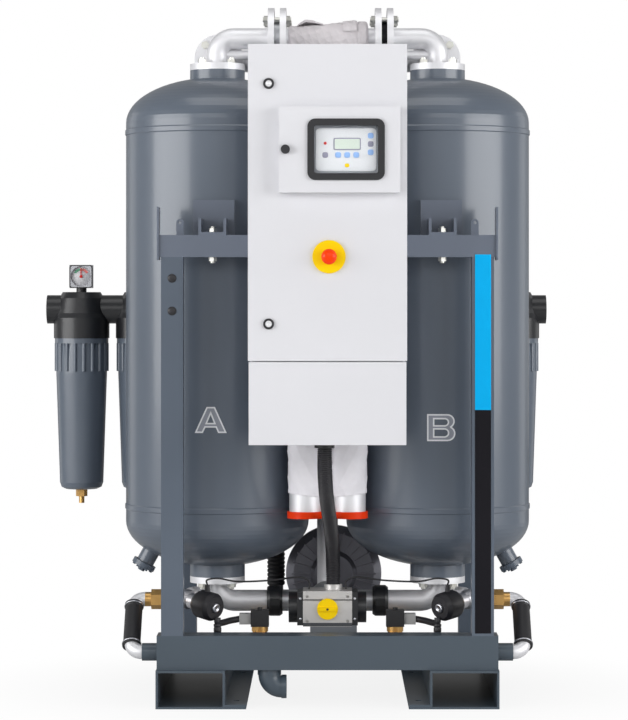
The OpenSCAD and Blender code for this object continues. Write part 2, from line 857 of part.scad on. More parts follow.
// Cold air from the riser to the cold crosspiece
module heater_feed_pipe() {
    r = header_bend_r;
    color(silver) {
        translate([riser_x, riser_y, hose_high_z]) tube(branch_d, pipe_wall, cold_z - r - hose_high_z);
        translate([riser_x + r, riser_y, cold_z - r]) rotate([90, 0, 0]) mirror([1, 0, 0]) {
            bend(branch_d, pipe_wall, r);
        }
        translate([riser_x + r, riser_y, cold_z]) tube_x(branch_d, pipe_wall, -riser_x - 2 * r);
        translate([-r, riser_y - r, cold_z]) bend(branch_d, pipe_wall, r);
        translate([0, hot_joint_y, cold_z]) tube_y(branch_d, pipe_wall, riser_y - r - hot_joint_y);
    }
}

// Blower

module blower_housing() {
    color("#a9acb1") difference() {
        union() {
            translate([blower_x, blower_front_y, blower_z]) rotate([-90, 0, 0]) rotate_extrude() polygon([
                [0, 0], [blower_d * 0.2, 0], [blower_d * 0.24, 14], [blower_d * 0.42, 14],
                [blower_d * 0.5, 34], [blower_d * 0.5, blower_deep - 20], [blower_d * 0.45, blower_deep],
                [0, blower_deep]
            ]);
            for (a = [0 : 15 : 345]) translate([blower_x, blower_front_y, blower_z]) rotate([0, a, 0]) {
                translate([blower_d * 0.25, 4, -2]) cube([blower_d * 0.19, 14, 4]);
            }
            translate([riser_x, riser_y, hose_low_z - 60]) cylinder(d = hose_d - 10, h = 60);
            translate([riser_x - 22, blower_back_y - 12, hose_low_z - 60]) {
                cube([-motor_d / 2 + 10 - riser_x + 22, riser_y + 34 - blower_back_y, 44]);
            }
        }
        translate([blower_x, blower_front_y + 22, blower_z]) rod_y(blower_d * 0.84, blower_deep - 34);
        translate([blower_x, blower_front_y + 22, blower_z]) rod_y(40, blower_deep);
    }
}

module blower_impeller() {
    color(silver) translate([blower_x, blower_front_y + 26, blower_z]) {
        rod_y(blower_d * 0.5, 20);
        for (a = [0 : 15 : 345]) rotate([0, a, 0]) translate([blower_d * 0.2, 0, -1.5]) {
            cube([blower_d * 0.19, blower_deep - 44, 3]);
        }
        rod_y(30, blower_deep + 14);
    }
}

module blower_motor() {
    color("#8f9399") difference() {
        union() {
            translate([blower_x, blower_back_y, blower_z]) rod_y(motor_d * 0.86, motor_l);
            for (a = [0 : 12 : 348]) translate([blower_x, blower_back_y + 30, blower_z]) rotate([0, a, 0]) {
                translate([motor_d * 0.4, 0, -2]) cube([motor_d * 0.08, motor_l - 50, 4]);
            }
            translate([blower_x, blower_back_y + motor_l - 40, blower_z]) rod_y(motor_d, 40);
            translate([blower_x - 70, fork_rear_y - 80, fork_h])
                cube([140, 60, blower_z - fork_h - motor_d * 0.3]);
        }
        translate([blower_x, blower_back_y - over, blower_z]) rod_y(30 + 2 * fit, 42);
    }
}

// Ribbed hose from the blower outlet to the riser
module blower_hose() {
    pitch = 12;
    ribs = floor((hose_high_z - hose_low_z) / pitch);
    color(black) translate([riser_x, riser_y, hose_low_z]) rotate_extrude($fn = 40) polygon(concat(
        [[hose_d / 2 - 8, hose_high_z - hose_low_z], [hose_d / 2 - 8, 0]],
        [for (i = [0 : ribs - 1]) each [
            [hose_d / 2 - 2.5, i * pitch], [hose_d / 2, i * pitch + pitch * 0.3],
            [hose_d / 2, i * pitch + pitch * 0.7]
        ]],
        [[hose_d / 2 - 2.5, hose_high_z - hose_low_z]]
    ));
}

// Lower piping

exhaust_d = 33.7;
exhaust_bend_r = 40;

// Bend below tower A, its pad flange, the run to the valve and the exhaust stub
module lower_spool() {
    bend_z = valve_z + low_bend_r;
    difference() {
        union() {
            translate([-vessel_x, 0, boss_low_z - flange_t]) flange(boss_d, nozzle_d, pad_bc, flange_t);
            translate([-vessel_x, 0, bend_z]) tube(pipe_d, pipe_wall, spool_drop);
            translate([-vessel_x + low_bend_r, 0, bend_z]) rotate([90, 0, 0]) {
                mirror([0, 1, 0]) mirror([1, 0, 0]) bend(pipe_d, pipe_wall, low_bend_r);
            }
            translate([-vessel_x + low_bend_r, 0, valve_z]) {
                tube_x(pipe_d, pipe_wall, vessel_x - low_bend_r - valve_half);
            }
            translate([-exhaust_x + exhaust_bend_r, 0, exhaust_z]) {
                tube_x(exhaust_d, pipe_wall, exhaust_x - exhaust_bend_r - vessel_x - 15);
            }
        }
        translate([-vessel_x + low_bend_r, 0, bend_z]) rotate([90, 0, 0]) mirror([0, 1, 0])
            mirror([1, 0, 0]) {
                rotate_extrude(angle = 90) translate([low_bend_r, 0]) circle(d = nozzle_d);
            }
    }
    translate([-exhaust_x + exhaust_bend_r, -exhaust_bend_r, exhaust_z]) mirror([1, 0, 0]) {
        bend(exhaust_d, pipe_wall, exhaust_bend_r);
    }
    translate([-exhaust_x, exhaust_y + 45, exhaust_z]) {
        tube_y(exhaust_d, pipe_wall, -exhaust_bend_r - exhaust_y - 45);
    }
}

module lower_spools() {
    color(silver) both_sides() lower_spool();
}

// Two-part grooved couplings round the joints between spools and valve
module pipe_couplings() {
    color(black) both_sides() translate([valve_half - coupling_w / 2, 0, valve_z]) rotate([0, 90, 0]) {
        rotate_extrude() translate([pipe_d / 2 + fit, 0]) polygon([
            [0, 0], [8, 0], [coupling_wall, 8],
            [coupling_wall, coupling_w - 8], [8, coupling_w], [0, coupling_w]
        ]);
        for (y = [-1, 1]) translate([-9, y * (coupling_d / 2 + 4) - 10, 8]) cube([18, 20, coupling_w - 16]);
    }
}

// Three-way body with side necks, a rear port that turns up and a front stem bore
module valve_body() {
    color("#b4b6ba") difference() {
        union() {
            translate([0, 0, valve_z]) sphere(d = valve_d);
            translate([-valve_half, 0, valve_z]) rod_x(pipe_d, 2 * valve_half);
            translate([0, -valve_d / 2 - 20, valve_z]) rod_y(70, valve_d / 2);
            translate([0, 0, valve_z]) rod_y(pipe_d, inlet_y - header_bend_r);
        }
        translate([-valve_half - over, 0, valve_z]) rod_x(nozzle_d, 2 * (valve_half + over));
        translate([0, 0, valve_z]) rod_y(nozzle_d, inlet_y);
        translate([0, 0, valve_z]) sphere(d = 80 + 2 * fit);
        translate([0, -valve_d, valve_z]) rod_y(20 + 2 * fit, valve_d);
    }
}

// Ball with an angled passage and the stem that the actuator turns
module valve_stem() {
    color(silver) difference() {
        union() {
            translate([0, 0, valve_z]) sphere(d = ball_d);
            translate([0, actuator_front_y + 8, valve_z]) rod_y(20, -actuator_front_y - 8);
        }
        translate([0, 0, valve_z]) rod_x(44, 60);
        translate([0, 0, valve_z]) rod_y(44, 60);
    }
}

// Pipe from the inlet filters to the changeover valve
module inlet_pipe() {
    r = header_bend_r;
    color(silver) {
        translate([-end_x, filter_y, inlet_z]) tube_x(pipe_d, pipe_wall, end_x - r);
        translate([-r, filter_y - r, inlet_z]) bend(pipe_d, pipe_wall, r);
        translate([0, inlet_y + r, inlet_z]) tube_y(pipe_d, pipe_wall, filter_y - inlet_y - 2 * r);
        translate([0, inlet_y + r, inlet_z - r]) rotate([90, 0, 90]) mirror([1, 0, 0])
            bend(pipe_d, pipe_wall, r);
        translate([0, inlet_y, valve_z + r]) tube(pipe_d, pipe_wall, inlet_z - valve_z - 2 * r);
        translate([0, inlet_y - r, valve_z + r]) rotate([90, 0, 90]) mirror([0, 1, 0])
            bend(pipe_d, pipe_wall, r);
        translate([-post_x - 20, filter_y + pipe_d / 2 - 3, inlet_z - 20]) {
            cube([40, rear_y - filter_y - pipe_d / 2 + 3, 40]);
        }
    }
}

solenoid_x = 188;
solenoid_y = -190;
solenoid_z = 150;

// Brass pilot bodies between the manifold beam and the lower pipe
module solenoid_bodies() {
    line_z = solenoid_z + 27;
    both_sides() translate([solenoid_x, solenoid_y, 0]) {
        translate([-20, -24, solenoid_z]) cube([40, 48, 40]);
        translate([0, 0, solenoid_z + 40]) cylinder(d = 46, h = 14);
        translate([0, front_y + manifold_deep - solenoid_y, line_z]) {
            rod_y(small_d, solenoid_y - front_y - manifold_deep - 24);
        }
        translate([0, 24, line_z]) rod_y(small_d, -solenoid_y - 24 - 30);
        translate([0, -solenoid_y - 30, line_z + 30]) rotate([90, 0, 90]) mirror([0, 1, 0]) {
            rotate_extrude(angle = 90) translate([30, 0]) circle(d = small_d);
        }
        translate([0, -solenoid_y, line_z + 30]) {
            difference() {
                cylinder(d = small_d, h = valve_z - line_z - 30);
                translate([-60, 0, valve_z - line_z - 30]) rod_x(pipe_d + 2 * fit, 120);
            }
        }
    }
}

module solenoid_coils() {
    color(black) both_sides() translate([solenoid_x, solenoid_y, solenoid_z + 54]) {
        translate([-25, -22, 0]) cube([50, 44, 46]);
        translate([25, -15, 6]) cube([32, 30, 30]);
        translate([0, 0, 46]) cylinder(d = 14, h = 6);
    }
}

actuator_low_z = valve_z - actuator_h / 2;
actuator_top_z = valve_z + actuator_h / 2;

module actuator_body() {
    groove_z = actuator_top_z - 28;
    color("#b8babf") conduit_gland();
    color("#b8babf") difference() {
        union() {
            translate([-actuator_w / 2, actuator_front_y, actuator_low_z]) {
                cube([actuator_w, actuator_deep, actuator_h]);
            }
            both_sides() translate([30, actuator_front_y + actuator_deep - 1, valve_z - 10]) {
                cube([10, -valve_d / 2 - 20 - actuator_front_y - actuator_deep + 16, 20]);
            }
        }
        translate([-actuator_w, actuator_front_y - over, groove_z]) cube([2 * actuator_w, 4 + over, 6]);
        both_sides() for (z = [-34, 34]) translate([56, actuator_front_y - over, valve_z + z]) {
            rod_y(8, 12 + over);
        }
        translate([0, actuator_front_y - over, valve_z]) rod_y(20 + 2 * fit, actuator_deep + 2 * over);
        both_sides() translate([0, -valve_d / 2 - 20, valve_z]) rod_y(70 + 2 * fit, 40);
    }
}

module actuator_end_caps() {
    color(black) both_sides() translate([actuator_w / 2, actuator_front_y + actuator_deep / 2, valve_z]) {
        rotate([0, 90, 0]) {
            translate([-actuator_h / 2 + 3, -actuator_deep / 2 + 3, 0]) {
                cube([actuator_h - 6, actuator_deep - 6, end_cap_l * 0.4]);
            }
            translate([0, 0, end_cap_l * 0.4]) cylinder(d = actuator_h - 12, h = end_cap_l * 0.6);
        }
    }
}

// Yellow dial with a raised bar on the actuator's front
module position_indicator() {
    color("#f5d21a") {
        translate([0, actuator_front_y - 9, valve_z]) rod_y(indicator_d, 9 - fit);
        translate([0, actuator_front_y - fit, valve_z]) rod_y(14, 8 + fit);
        translate([-indicator_d * 0.42, actuator_front_y - 15, valve_z - 5])
            cube([indicator_d * 0.84, 7, 10]);
    }
}

// Brass bodies of the exhaust valves, inlet from the rear and outlet to the side
module brass_valve_bodies() {
    color(brass) {
        solenoid_bodies();
        angle_valve_bodies();
    }
}

module angle_valve_bodies() {
    both_sides() translate([-exhaust_x, exhaust_y, exhaust_z]) {
        rod_y(46, 45);
        sphere(d = 56);
        translate([-50, 0, 0]) rod_x(46, 50);
        rotate([0, 0, -45]) rotate([0, angle_tilt, 0]) rod_x(44, 46);
        translate([exhaust_x - manifold_l / 2 - stub_l, 0, 0])
            rod_x(40, manifold_l / 2 + stub_l - exhaust_x - 49);
        translate([exhaust_x - manifold_l / 2 - stub_l + union_gap, 0, 0]) rotate([0, 90, 0]) {
            cylinder(d = union_d, h = union_l, $fn = 6);
        }
    }
}

angle_gland_z = exhaust_z + angle_d / 2 + 6;
angle_tilt = 8;
gland_out = 82;

module angle_valve_actuators() {
    color(black) both_sides() translate([-exhaust_x, exhaust_y, exhaust_z]) rotate([0, 0, -45]) {
        rotate([0, 90 + angle_tilt, 0]) rotate_extrude() polygon([
            [0, 46], [30, 46], [angle_d / 2 - 4, 52], [angle_d / 2, 60], [angle_d / 2, 104],
            [angle_d / 2 - 8, 116], [0, 116]
        ]);
        translate([gland_out, 0, 0]) cylinder(d = 14, h = angle_d / 2 + 6);
        rotate([0, 90 + angle_tilt, 0]) translate([0, 0, 116]) cylinder(d = 22, h = 5, $fn = 6);
    }
}

exhaust_pipe_d = 40;
exhaust_turn_r = 30;
exhaust_hose_d = 47;
hose_span = norm([exhaust_y - manifold_y, exhaust_z - manifold_z]);
hose_slope = atan2(exhaust_z - manifold_z, exhaust_y - manifold_y);

// Frame at a brass union's outer end, its -Y axis pointing at the stub on the beam
module hose_frame() {
    translate([-manifold_l / 2 - stub_l, exhaust_y, exhaust_z]) rotate([hose_slope, 0, 0]) children();
}

// Steel bends at both ends of an exhaust hose
module exhaust_elbows() {
    color(silver) both_sides() hose_frame() {
        translate([0, -exhaust_turn_r, 0]) mirror([1, 0, 0]) bend(exhaust_pipe_d, 4, exhaust_turn_r);
        translate([0, -hose_span + exhaust_turn_r, 0]) mirror([1, 0, 0]) mirror([0, 1, 0]) {
            bend(exhaust_pipe_d, 4, exhaust_turn_r);
        }
    }
}

module exhaust_hoses() {
    hose_l = hose_span - 2 * exhaust_turn_r;
    color(black) both_sides() hose_frame() {
        translate([-exhaust_turn_r, -exhaust_turn_r - hose_l, 0]) rod_y(exhaust_hose_d, hose_l);
    }
}

// Points along a cubic curve with end tangents towards b and c
function curve(a, b, c, d, n) = [
    for (i = [0 : n]) let (t = i / n, u = 1 - t)
        u * u * u * a + 3 * u * u * t * b + 3 * u * t * t * c + t * t * t * d
];

function unit(v) = v / norm(v);

function heading(path, i) = unit(path[min(i + 1, len(path) - 1)] - path[max(i - 1, 0)]);

// Round cord along a path, with side a vector that the path never follows
module sweep(path, d, sides, side) {
    n = len(path);
    points = [for (i = [0 : n - 1]) let (t = heading(path, i), u = unit(cross(side, t)), v = cross(t, u))
        for (k = [0 : sides - 1]) path[i] + d / 2 * (cos(360 * k / sides) * u + sin(360 * k / sides) * v)];
    walls = [for (i = [0 : n - 2]) for (k = [0 : sides - 1]) let (m = (k + 1) % sides)
        [i * sides + k, (i + 1) * sides + k, (i + 1) * sides + m, i * sides + m]];
    ends = [[for (k = [0 : sides - 1]) k], [for (k = [sides - 1 : -1 : 0]) (n - 1) * sides + k]];
    polyhedron(points, concat(walls, ends));
}

// Filters

filter_places = [-filter_outer_x, -filter_inner_x, filter_inner_x];

module filter_heads() {
    top_z = head_low_z + head_h;
    left_x = -filter_outer_x - 101;
    color(black) difference() {
        union() {
            for (x = filter_places) translate([x, filter_y, 0]) rotate_extrude() polygon([
                [0, head_low_z], [filter_d / 2, head_low_z], [filter_d / 2, head_low_z + 60],
                [filter_d / 2 - 6, head_low_z + 74], [filter_d / 2 - 16, top_z - 18],
                [filter_d / 2 - 26, top_z], [0, top_z]
            ]);
            translate([left_x, filter_y, inlet_z]) rod_x(84, -end_x - left_x);
            translate([end_x, filter_y, inlet_z]) rod_x(84, filter_inner_x + 101 - end_x);
        }
        translate([left_x - over, filter_y, inlet_z]) rod_x(nozzle_d, 70);
        translate([filter_inner_x + 101 - 70, filter_y, inlet_z]) rod_x(nozzle_d, 70 + over);
    }
}

bowl_top_z = head_low_z;
bowl_flute_z = bowl_top_z - 103;

// Tapered bowls with a fluted grip under the collar
module filter_bowls() {
    r = filter_d / 2 - 3;
    low_r = bowl_low_d / 2;
    color("#9a9da2") for (x = filter_places) translate([x, filter_y, 0]) {
        difference() {
            union() {
                rotate_extrude() polygon([
                    [0, bowl_low_z], [low_r - 18, bowl_low_z], [low_r - 5, bowl_low_z + 6],
                    [low_r, bowl_low_z + 20], [r - 4, bowl_flute_z], [r - 4, bowl_top_z - 15],
                    [r, bowl_top_z - 15], [r, bowl_top_z], [0, bowl_top_z]
                ]);
                for (a = [0 : 20 : 340]) rotate(a) translate([r - 5, 0, bowl_flute_z + 6]) {
                    cylinder(d = 12, h = bowl_top_z - 15 - bowl_flute_z - 6, $fn = 24);
                }
            }
            translate([0, 0, bowl_low_z + 25]) cylinder(d = bowl_low_d - 14, h = bowl_top_z - bowl_low_z);
        }
    }
}

module filter_elements() {
    color("#e8e4da") for (x = filter_places) translate([x, filter_y, bowl_low_z + 60]) {
        tube(bowl_low_d - 40, 16, bowl_top_z - bowl_low_z - 60);
    }
}

module filter_drains() {
    color(black) for (x = filter_places) translate([x, filter_y, bowl_low_z]) mirror([0, 0, 1]) {
        cylinder(d = 34, h = 22, $fn = 6);
        translate([0, 0, 22]) cylinder(d = 16, h = 20);
    }
}

module dp_gauge() {
    color("#d9dadd") difference() {
        union() {
            translate([gauge_x - gauge_w / 2, gauge_front_y, gauge_z - gauge_w / 2]) {
                cube([gauge_w, 36, gauge_w]);
            }
            translate([gauge_x, filter_y - 8, head_low_z + head_h]) cylinder(d = 30, h = 14);
        }
        translate([gauge_x, gauge_front_y - over, gauge_z]) rod_y(gauge_w - 8, 8 + over);
    }
}

// Pointer in front of the gauge dial, at rest straight up
module gauge_needle() {
    color("#c8201c") translate([gauge_x, gauge_front_y + 3, gauge_z]) {
        rod_y(9, 5 - fit);
        translate([-1.5, 0, 0]) cube([3, 2, gauge_w * 0.36]);
    }
}

// Cabinet

shell_deep = front_y - shell_front_y;
lip_w = 14;
lug_h = 12;
strike_w = 26;
strike_h = 40;

// Open-fronted box with a lip round the opening and lugs for the door's pins
module cabinet_shell() {
    shell_h = cabinet_top_z - cabinet_low_z;
    color(cabinet_grey) hinge_pins();
    color(cabinet_grey) strike_plates();
    color(cabinet_grey) difference() {
        union() {
            difference() {
                translate([-shell_x, shell_front_y, cabinet_low_z]) cube([2 * shell_x, shell_deep, shell_h]);
                translate([-shell_x + sheet_t, shell_front_y + sheet_t, cabinet_low_z + sheet_t]) {
                    cube([2 * (shell_x - sheet_t), shell_deep - 2 * sheet_t, shell_h - 2 * sheet_t]);
                }
                translate([-shell_x + lip_w, shell_front_y - over, cabinet_low_z + lip_w]) {
                    cube([2 * (shell_x - lip_w), sheet_t + 2 * over, shell_h - 2 * lip_w]);
                }
            }
            for (z = hinge_levels) for (side = [-1, 1]) translate([hinge_x, hinge_y, z]) {
                translate([0, 0, side * (knuckle_h + lug_h + 1) / 2 - lug_h / 2]) {
                    cylinder(d = knuckle_d, h = lug_h);
                    translate([shell_x - hinge_x - over, 0, 0]) cube([hinge_x - shell_x + over, 4, lug_h]);
                }
            }
        }
        translate([conduit_start[0], conduit_start[1], cabinet_low_z - over])
            cylinder(d = 60, h = sheet_t + 2 * over);
    }
}

// Plates behind the lip that the lock cams catch on
module strike_plates() {
    for (z = lock_levels)
        translate([-shell_x + sheet_t + 2, shell_front_y + sheet_t + fit, z - strike_h / 2]) {
            cube([strike_w, sheet_t, strike_h]);
        }
}

module hinge_pins() {
    pin_l = knuckle_h + 1 + 2 * lug_h;
    union() {
        for (z = hinge_levels) translate([hinge_x, hinge_y, z - pin_l / 2]) {
            cylinder(d = hinge_pin_d, h = pin_l);
            translate([0, 0, pin_l]) cylinder(d = hinge_pin_d + 3, h = 3);
        }
    }
}

// Box below the cabinet that hides the cable entries, open to the rear
module cable_cover() {
    inset = 2;
    cover_h = cabinet_low_z - cover_low_z;
    color(cabinet_grey) difference() {
        union() {
            translate([-door_x + inset, cabinet_front_y + 1, cover_low_z]) {
                cube([2 * (door_x - inset), cabinet_deep - 1, cover_h]);
            }
            translate([conduit_start[0], conduit_start[1], conduit_start[2]]) {
                cylinder(d = 54, h = cover_low_z - conduit_start[2] + over);
            }
        }
        translate([-door_x + inset + sheet_t, cabinet_front_y + 1 + sheet_t, cover_low_z + sheet_t]) {
            cube([2 * (door_x - inset - sheet_t), cabinet_deep, cover_h - 2 * sheet_t]);
        }
        translate([conduit_start[0], conduit_start[1], cabinet_low_z - 2 * sheet_t])
            cylinder(d = 60, h = 3 * sheet_t);
    }
}

plate_x = 165;
plate_y = front_y - sheet_t - 12;
plate_t = 3;

module mounting_plate() {
    color("#d7a53a") {
        translate([-plate_x, plate_y - plate_t, cabinet_low_z + 40]) {
            cube([2 * plate_x, plate_t, cabinet_top_z - cabinet_low_z - 80]);
        }
        both_sides() for (z = [cabinet_low_z + 60, cabinet_top_z - 60])
            translate([plate_x - 20, plate_y, z]) {
                rod_y(12, 12);
            }
    }
}

// Rails with breakers, contactors and terminals on the mounting plate
module control_gear() {
    gear_y = plate_y - plate_t;
    color("#55595f") for (row = [0 : 2])
        translate([-plate_x + 25, gear_y - rail_t, cabinet_low_z + 170 + row * rail_pitch]) {
            cube([2 * plate_x - 50, rail_t, rail_h]);
            for (i = [0 : 5 - row]) translate([i * gear_pitch, -gear_t, -25]) cube([gear_w, gear_t, gear_h]);
        }
}

door_low_z = cabinet_low_z + 3;
return_deep = door_t - 6;
opening_w = gasket_w - 2 * gasket_rim + 12;
opening_h = gasket_h - 2 * gasket_rim + 12;
window_hinge_x = window_right - 7;
window_hinge_y = cabinet_front_y - 8;
window_hinges = [window_low_z + 45, window_low_z + window_h - 45];

// Folded door with hinge knuckles at its right edge and lugs for the window door
module cabinet_door() {
    door_h = cabinet_top_z - door_low_z;
    color(cabinet_grey) window_pins();
    color(cabinet_grey) difference() {
        union() {
            difference() {
                translate([-door_x, cabinet_front_y, door_low_z]) cube([2 * door_x, return_deep, door_h]);
                translate([-door_x + sheet_t, cabinet_front_y + sheet_t, door_low_z + sheet_t]) {
                    cube([2 * (door_x - sheet_t), return_deep, door_h - 2 * sheet_t]);
                }
            }
            for (z = hinge_levels) translate([hinge_x, hinge_y, z - knuckle_h / 2]) {
                cylinder(d = knuckle_d, h = knuckle_h);
                translate([-2, -door_t + over, 0]) cube([4, door_t - over, knuckle_h]);
            }
            for (z = window_hinges) for (side = [-1, 1]) translate([window_hinge_x, window_hinge_y, z]) {
                translate([0, 0, side * (knuckle_h + lug_h + 1) / 2 - lug_h / 2]) {
                    cylinder(d = knuckle_d, h = lug_h);
                    translate([-knuckle_d / 2, 0, 0]) {
                        cube([knuckle_d / 2 - 0.5, cabinet_front_y - window_hinge_y + over, lug_h]);
                    }
                }
            }
        }
        translate([hinge_x, hinge_y, door_low_z]) cylinder(d = hinge_pin_d + 2 * fit, h = door_h);
        for (z = lock_levels) translate([lock_x, cabinet_front_y - over, z]) rod_y(20 + 2 * fit, door_t);
        translate([estop_x, cabinet_front_y - over, estop_z]) rod_y(22 + 2 * fit, door_t);
    }
}

module window_pins() {
    pin_l = knuckle_h + 1 + 2 * lug_h;
    for (z = window_hinges) translate([window_hinge_x, window_hinge_y, z - pin_l / 2]) {
        cylinder(d = hinge_pin_d, h = pin_l);
        translate([0, 0, pin_l]) cylinder(d = hinge_pin_d + 3, h = 3);
    }
}

window_lock_x = window_left + 17;

// Boxed frame round the window, notched at its hinge edge
module window_door() {
    back_y = cabinet_front_y - 0.5;
    deep = back_y - window_front_y;
    color(cabinet_grey) difference() {
        union() {
            difference() {
                translate([window_left, window_front_y, window_low_z]) cube([window_w, deep, window_h]);
                translate([window_left + sheet_t, window_front_y + sheet_t, window_low_z + sheet_t]) {
                    cube([window_w - 2 * sheet_t, deep, window_h - 2 * sheet_t]);
                }
                translate([gasket_x - opening_w / 2, window_front_y - over, window_mid_z - opening_h / 2]) {
                    cube([opening_w, sheet_t + 2 * over, opening_h]);
                }
                translate([window_hinge_x, window_hinge_y - 3, window_low_z - over]) {
                    cube([window_w, window_deep, window_h + 2 * over]);
                }
            }
            for (z = window_hinges) translate([window_hinge_x, window_hinge_y, z - knuckle_h / 2]) {
                cylinder(d = knuckle_d, h = knuckle_h);
                translate([-2, window_front_y - window_hinge_y + over, 0]) {
                    cube([4, window_hinge_y - window_front_y - over, knuckle_h]);
                }
            }
        }
        translate([window_hinge_x, window_hinge_y, window_low_z + sheet_t]) {
            cylinder(d = hinge_pin_d + 2 * fit, h = window_h - 2 * sheet_t);
        }
        translate([window_lock_x, window_front_y - over, window_mid_z]) rod_y(12 + 2 * fit, 20);
    }
}

module window_pane() {
    color("#cfe3ea")
        translate([gasket_x - opening_w / 2 + fit, window_front_y, window_mid_z - opening_h / 2 + fit]) {
            cube([opening_w - 2 * fit, 3, opening_h - 2 * fit]);
        }
}

// Plate outline in the XZ plane with rounded corners, its front at the origin's depth
module round_plate(w, h, r, t) {
    rotate([-90, 0, 0]) linear_extrude(t) union() {
        square([w - 2 * r, h], center = true);
        square([w, h - 2 * r], center = true);
        for (x = [-1, 1]) for (y = [-1, 1]) translate([x * (w / 2 - r), y * (h / 2 - r)]) circle(r = r);
    }
}

module window_gasket() {
    color(black) translate([gasket_x, window_front_y - gasket_t * 0.6, window_mid_z]) difference() {
        round_plate(gasket_w, gasket_h, 21, gasket_t * 0.6);
        translate([0, -over, 0]) {
            round_plate(gasket_w - 2 * gasket_rim, gasket_h - 2 * gasket_rim, 5, gasket_t);
        }
    }
}

controller_front_y = cabinet_front_y - 24;
key_d = 14;
key_t = 2;
display_x = 3;
display_w = controller_w * 0.4;
display_h = controller_h * 0.23;
menu_pitch = 24;
side_pitch = 22;
low_key_z = -14;
side_key_z = 15;
right_key_x = 65;
left_key_x = -55;

// Panel with a display frame, three lower keys and two columns of side keys
module controller() {
    color("#3a3d44") translate([gasket_x, 0, window_mid_z]) {
        translate([-controller_w / 2, controller_front_y, -controller_h / 2]) {
            cube([controller_w, 24, controller_h]);
        }
        translate([display_x - display_w / 2, controller_front_y - key_t, side_key_z - display_h / 2]) {
            cube([display_w, key_t, display_h]);
        }
        for (i = [-1 : 1]) {
            translate([display_x + i * menu_pitch, controller_front_y - key_t, low_key_z])
                rod_y(key_d, key_t);
            translate([right_key_x, controller_front_y - key_t, side_key_z + i * side_pitch])
                rod_y(key_d, key_t);
        }
        translate([left_key_x, controller_front_y - key_t, low_key_z]) rod_y(key_d, key_t);
    }
}

// Quarter-turn lock with a ring in front of the sheet and a cam behind it, cam down at rest
module turn_lock(ring_d, barrel_d, sheet_y, proud, cam_l) {
    translate([0, sheet_y - proud, 0]) difference() {
        rod_y(ring_d, proud - fit);
        translate([0, -over, 0]) rod_y(ring_d * 0.62, 2 + over);
    }
    translate([0, sheet_y - fit - over, 0]) rod_y(barrel_d, cam_y - sheet_y + 4 + fit + over);
    translate([-6, cam_y, -cam_l]) cube([12, 4, cam_l]);
}

cam_y = shell_front_y + 2 * sheet_t + 2;
cam_l = 29;

module upper_door_lock() {
    color(black) translate([lock_x, 0, lock_levels[1]]) turn_lock(lock_d, 20, cabinet_front_y, 5, cam_l);
}

module lower_door_lock() {
    color(black) translate([lock_x, 0, lock_levels[0]]) turn_lock(lock_d, 20, cabinet_front_y, 5, cam_l);
}

module window_lock() {
    color(black) translate([window_lock_x, window_front_y, window_mid_z]) {
        translate([0, -14, 0]) rod_y(24, 14 - fit);
        translate([0, -over, 0]) rod_y(12, 14 + over);
        translate([-4, 10, -14]) cube([8, 4, 14]);
    }
}

estop_t = 8;

// Yellow disc with its neck through the door
module estop_collar() {
    color("#f8d414") translate([estop_x, cabinet_front_y - estop_t, estop_z]) difference() {
        union() {
            rod_y(estop_d, estop_t);
            rod_y(22, estop_t + 30);
        }
        translate([0, -over, 0]) rod_y(12 + 2 * fit, estop_t + 30 + 2 * over);
    }
}

module estop_button() {
    cap_y = cabinet_front_y - estop_t - button_travel - 1;
    color("#e8380c") translate([estop_x, 0, estop_z]) {
        translate([0, cap_y, 0]) rotate([90, 0, 0]) rotate_extrude() polygon([
            [0, 0], [button_d / 2 - 3, 0], [button_d / 2, 4], [button_d / 2, 10], [button_d / 2 - 4, 15],
            [button_d / 4, 18], [0, 19]
        ]);
        translate([0, cap_y - over, 0]) rod_y(12, estop_t + button_travel + 20);
    }
}

// Cables

conduit_start = [-8, -470, cover_low_z - 12];
conduit_end = [16, -165, actuator_top_z + 14];
conduit_d = 40;
conduit_fall = 200;
conduit_rise = 215;

module conduit() {
    lead = [0, 0, conduit_d / 5];
    sweep(concat(
        [conduit_start],
        curve(conduit_start - lead, conduit_start - [0, 0, conduit_fall], conduit_end + [0, 0, conduit_rise],
            conduit_end + lead, 16),
        [conduit_end]
    ), conduit_d, 12, [1, 0, 0]);
}

module conduit_gland() {
    translate([conduit_end[0], conduit_end[1], actuator_top_z]) cylinder(d = 50, h = 14);
}

cable_d = 5;
cable_end = [
    exhaust_x - gland_out * cos(45), exhaust_y - gland_out * sin(45), angle_gland_z
];
cable_points = [
    [52, -170, actuator_top_z], [52, -170, actuator_top_z + 22], [82, -178, actuator_top_z + 34],
    [160, -188, actuator_top_z + 26], [250, -200, actuator_top_z + 24], [300, -225, angle_gland_z + 16],
    cable_end + [0, 0, 14]
];

// Control lines from the actuator's top to the glands of the two exhaust valves
module control_cables() {
    color(black) conduit();
    color(black) both_sides() {
        sweep(concat(cable_points, [cable_end]), cable_d, 8, [0.2, 1, 0.1]);
    }
}

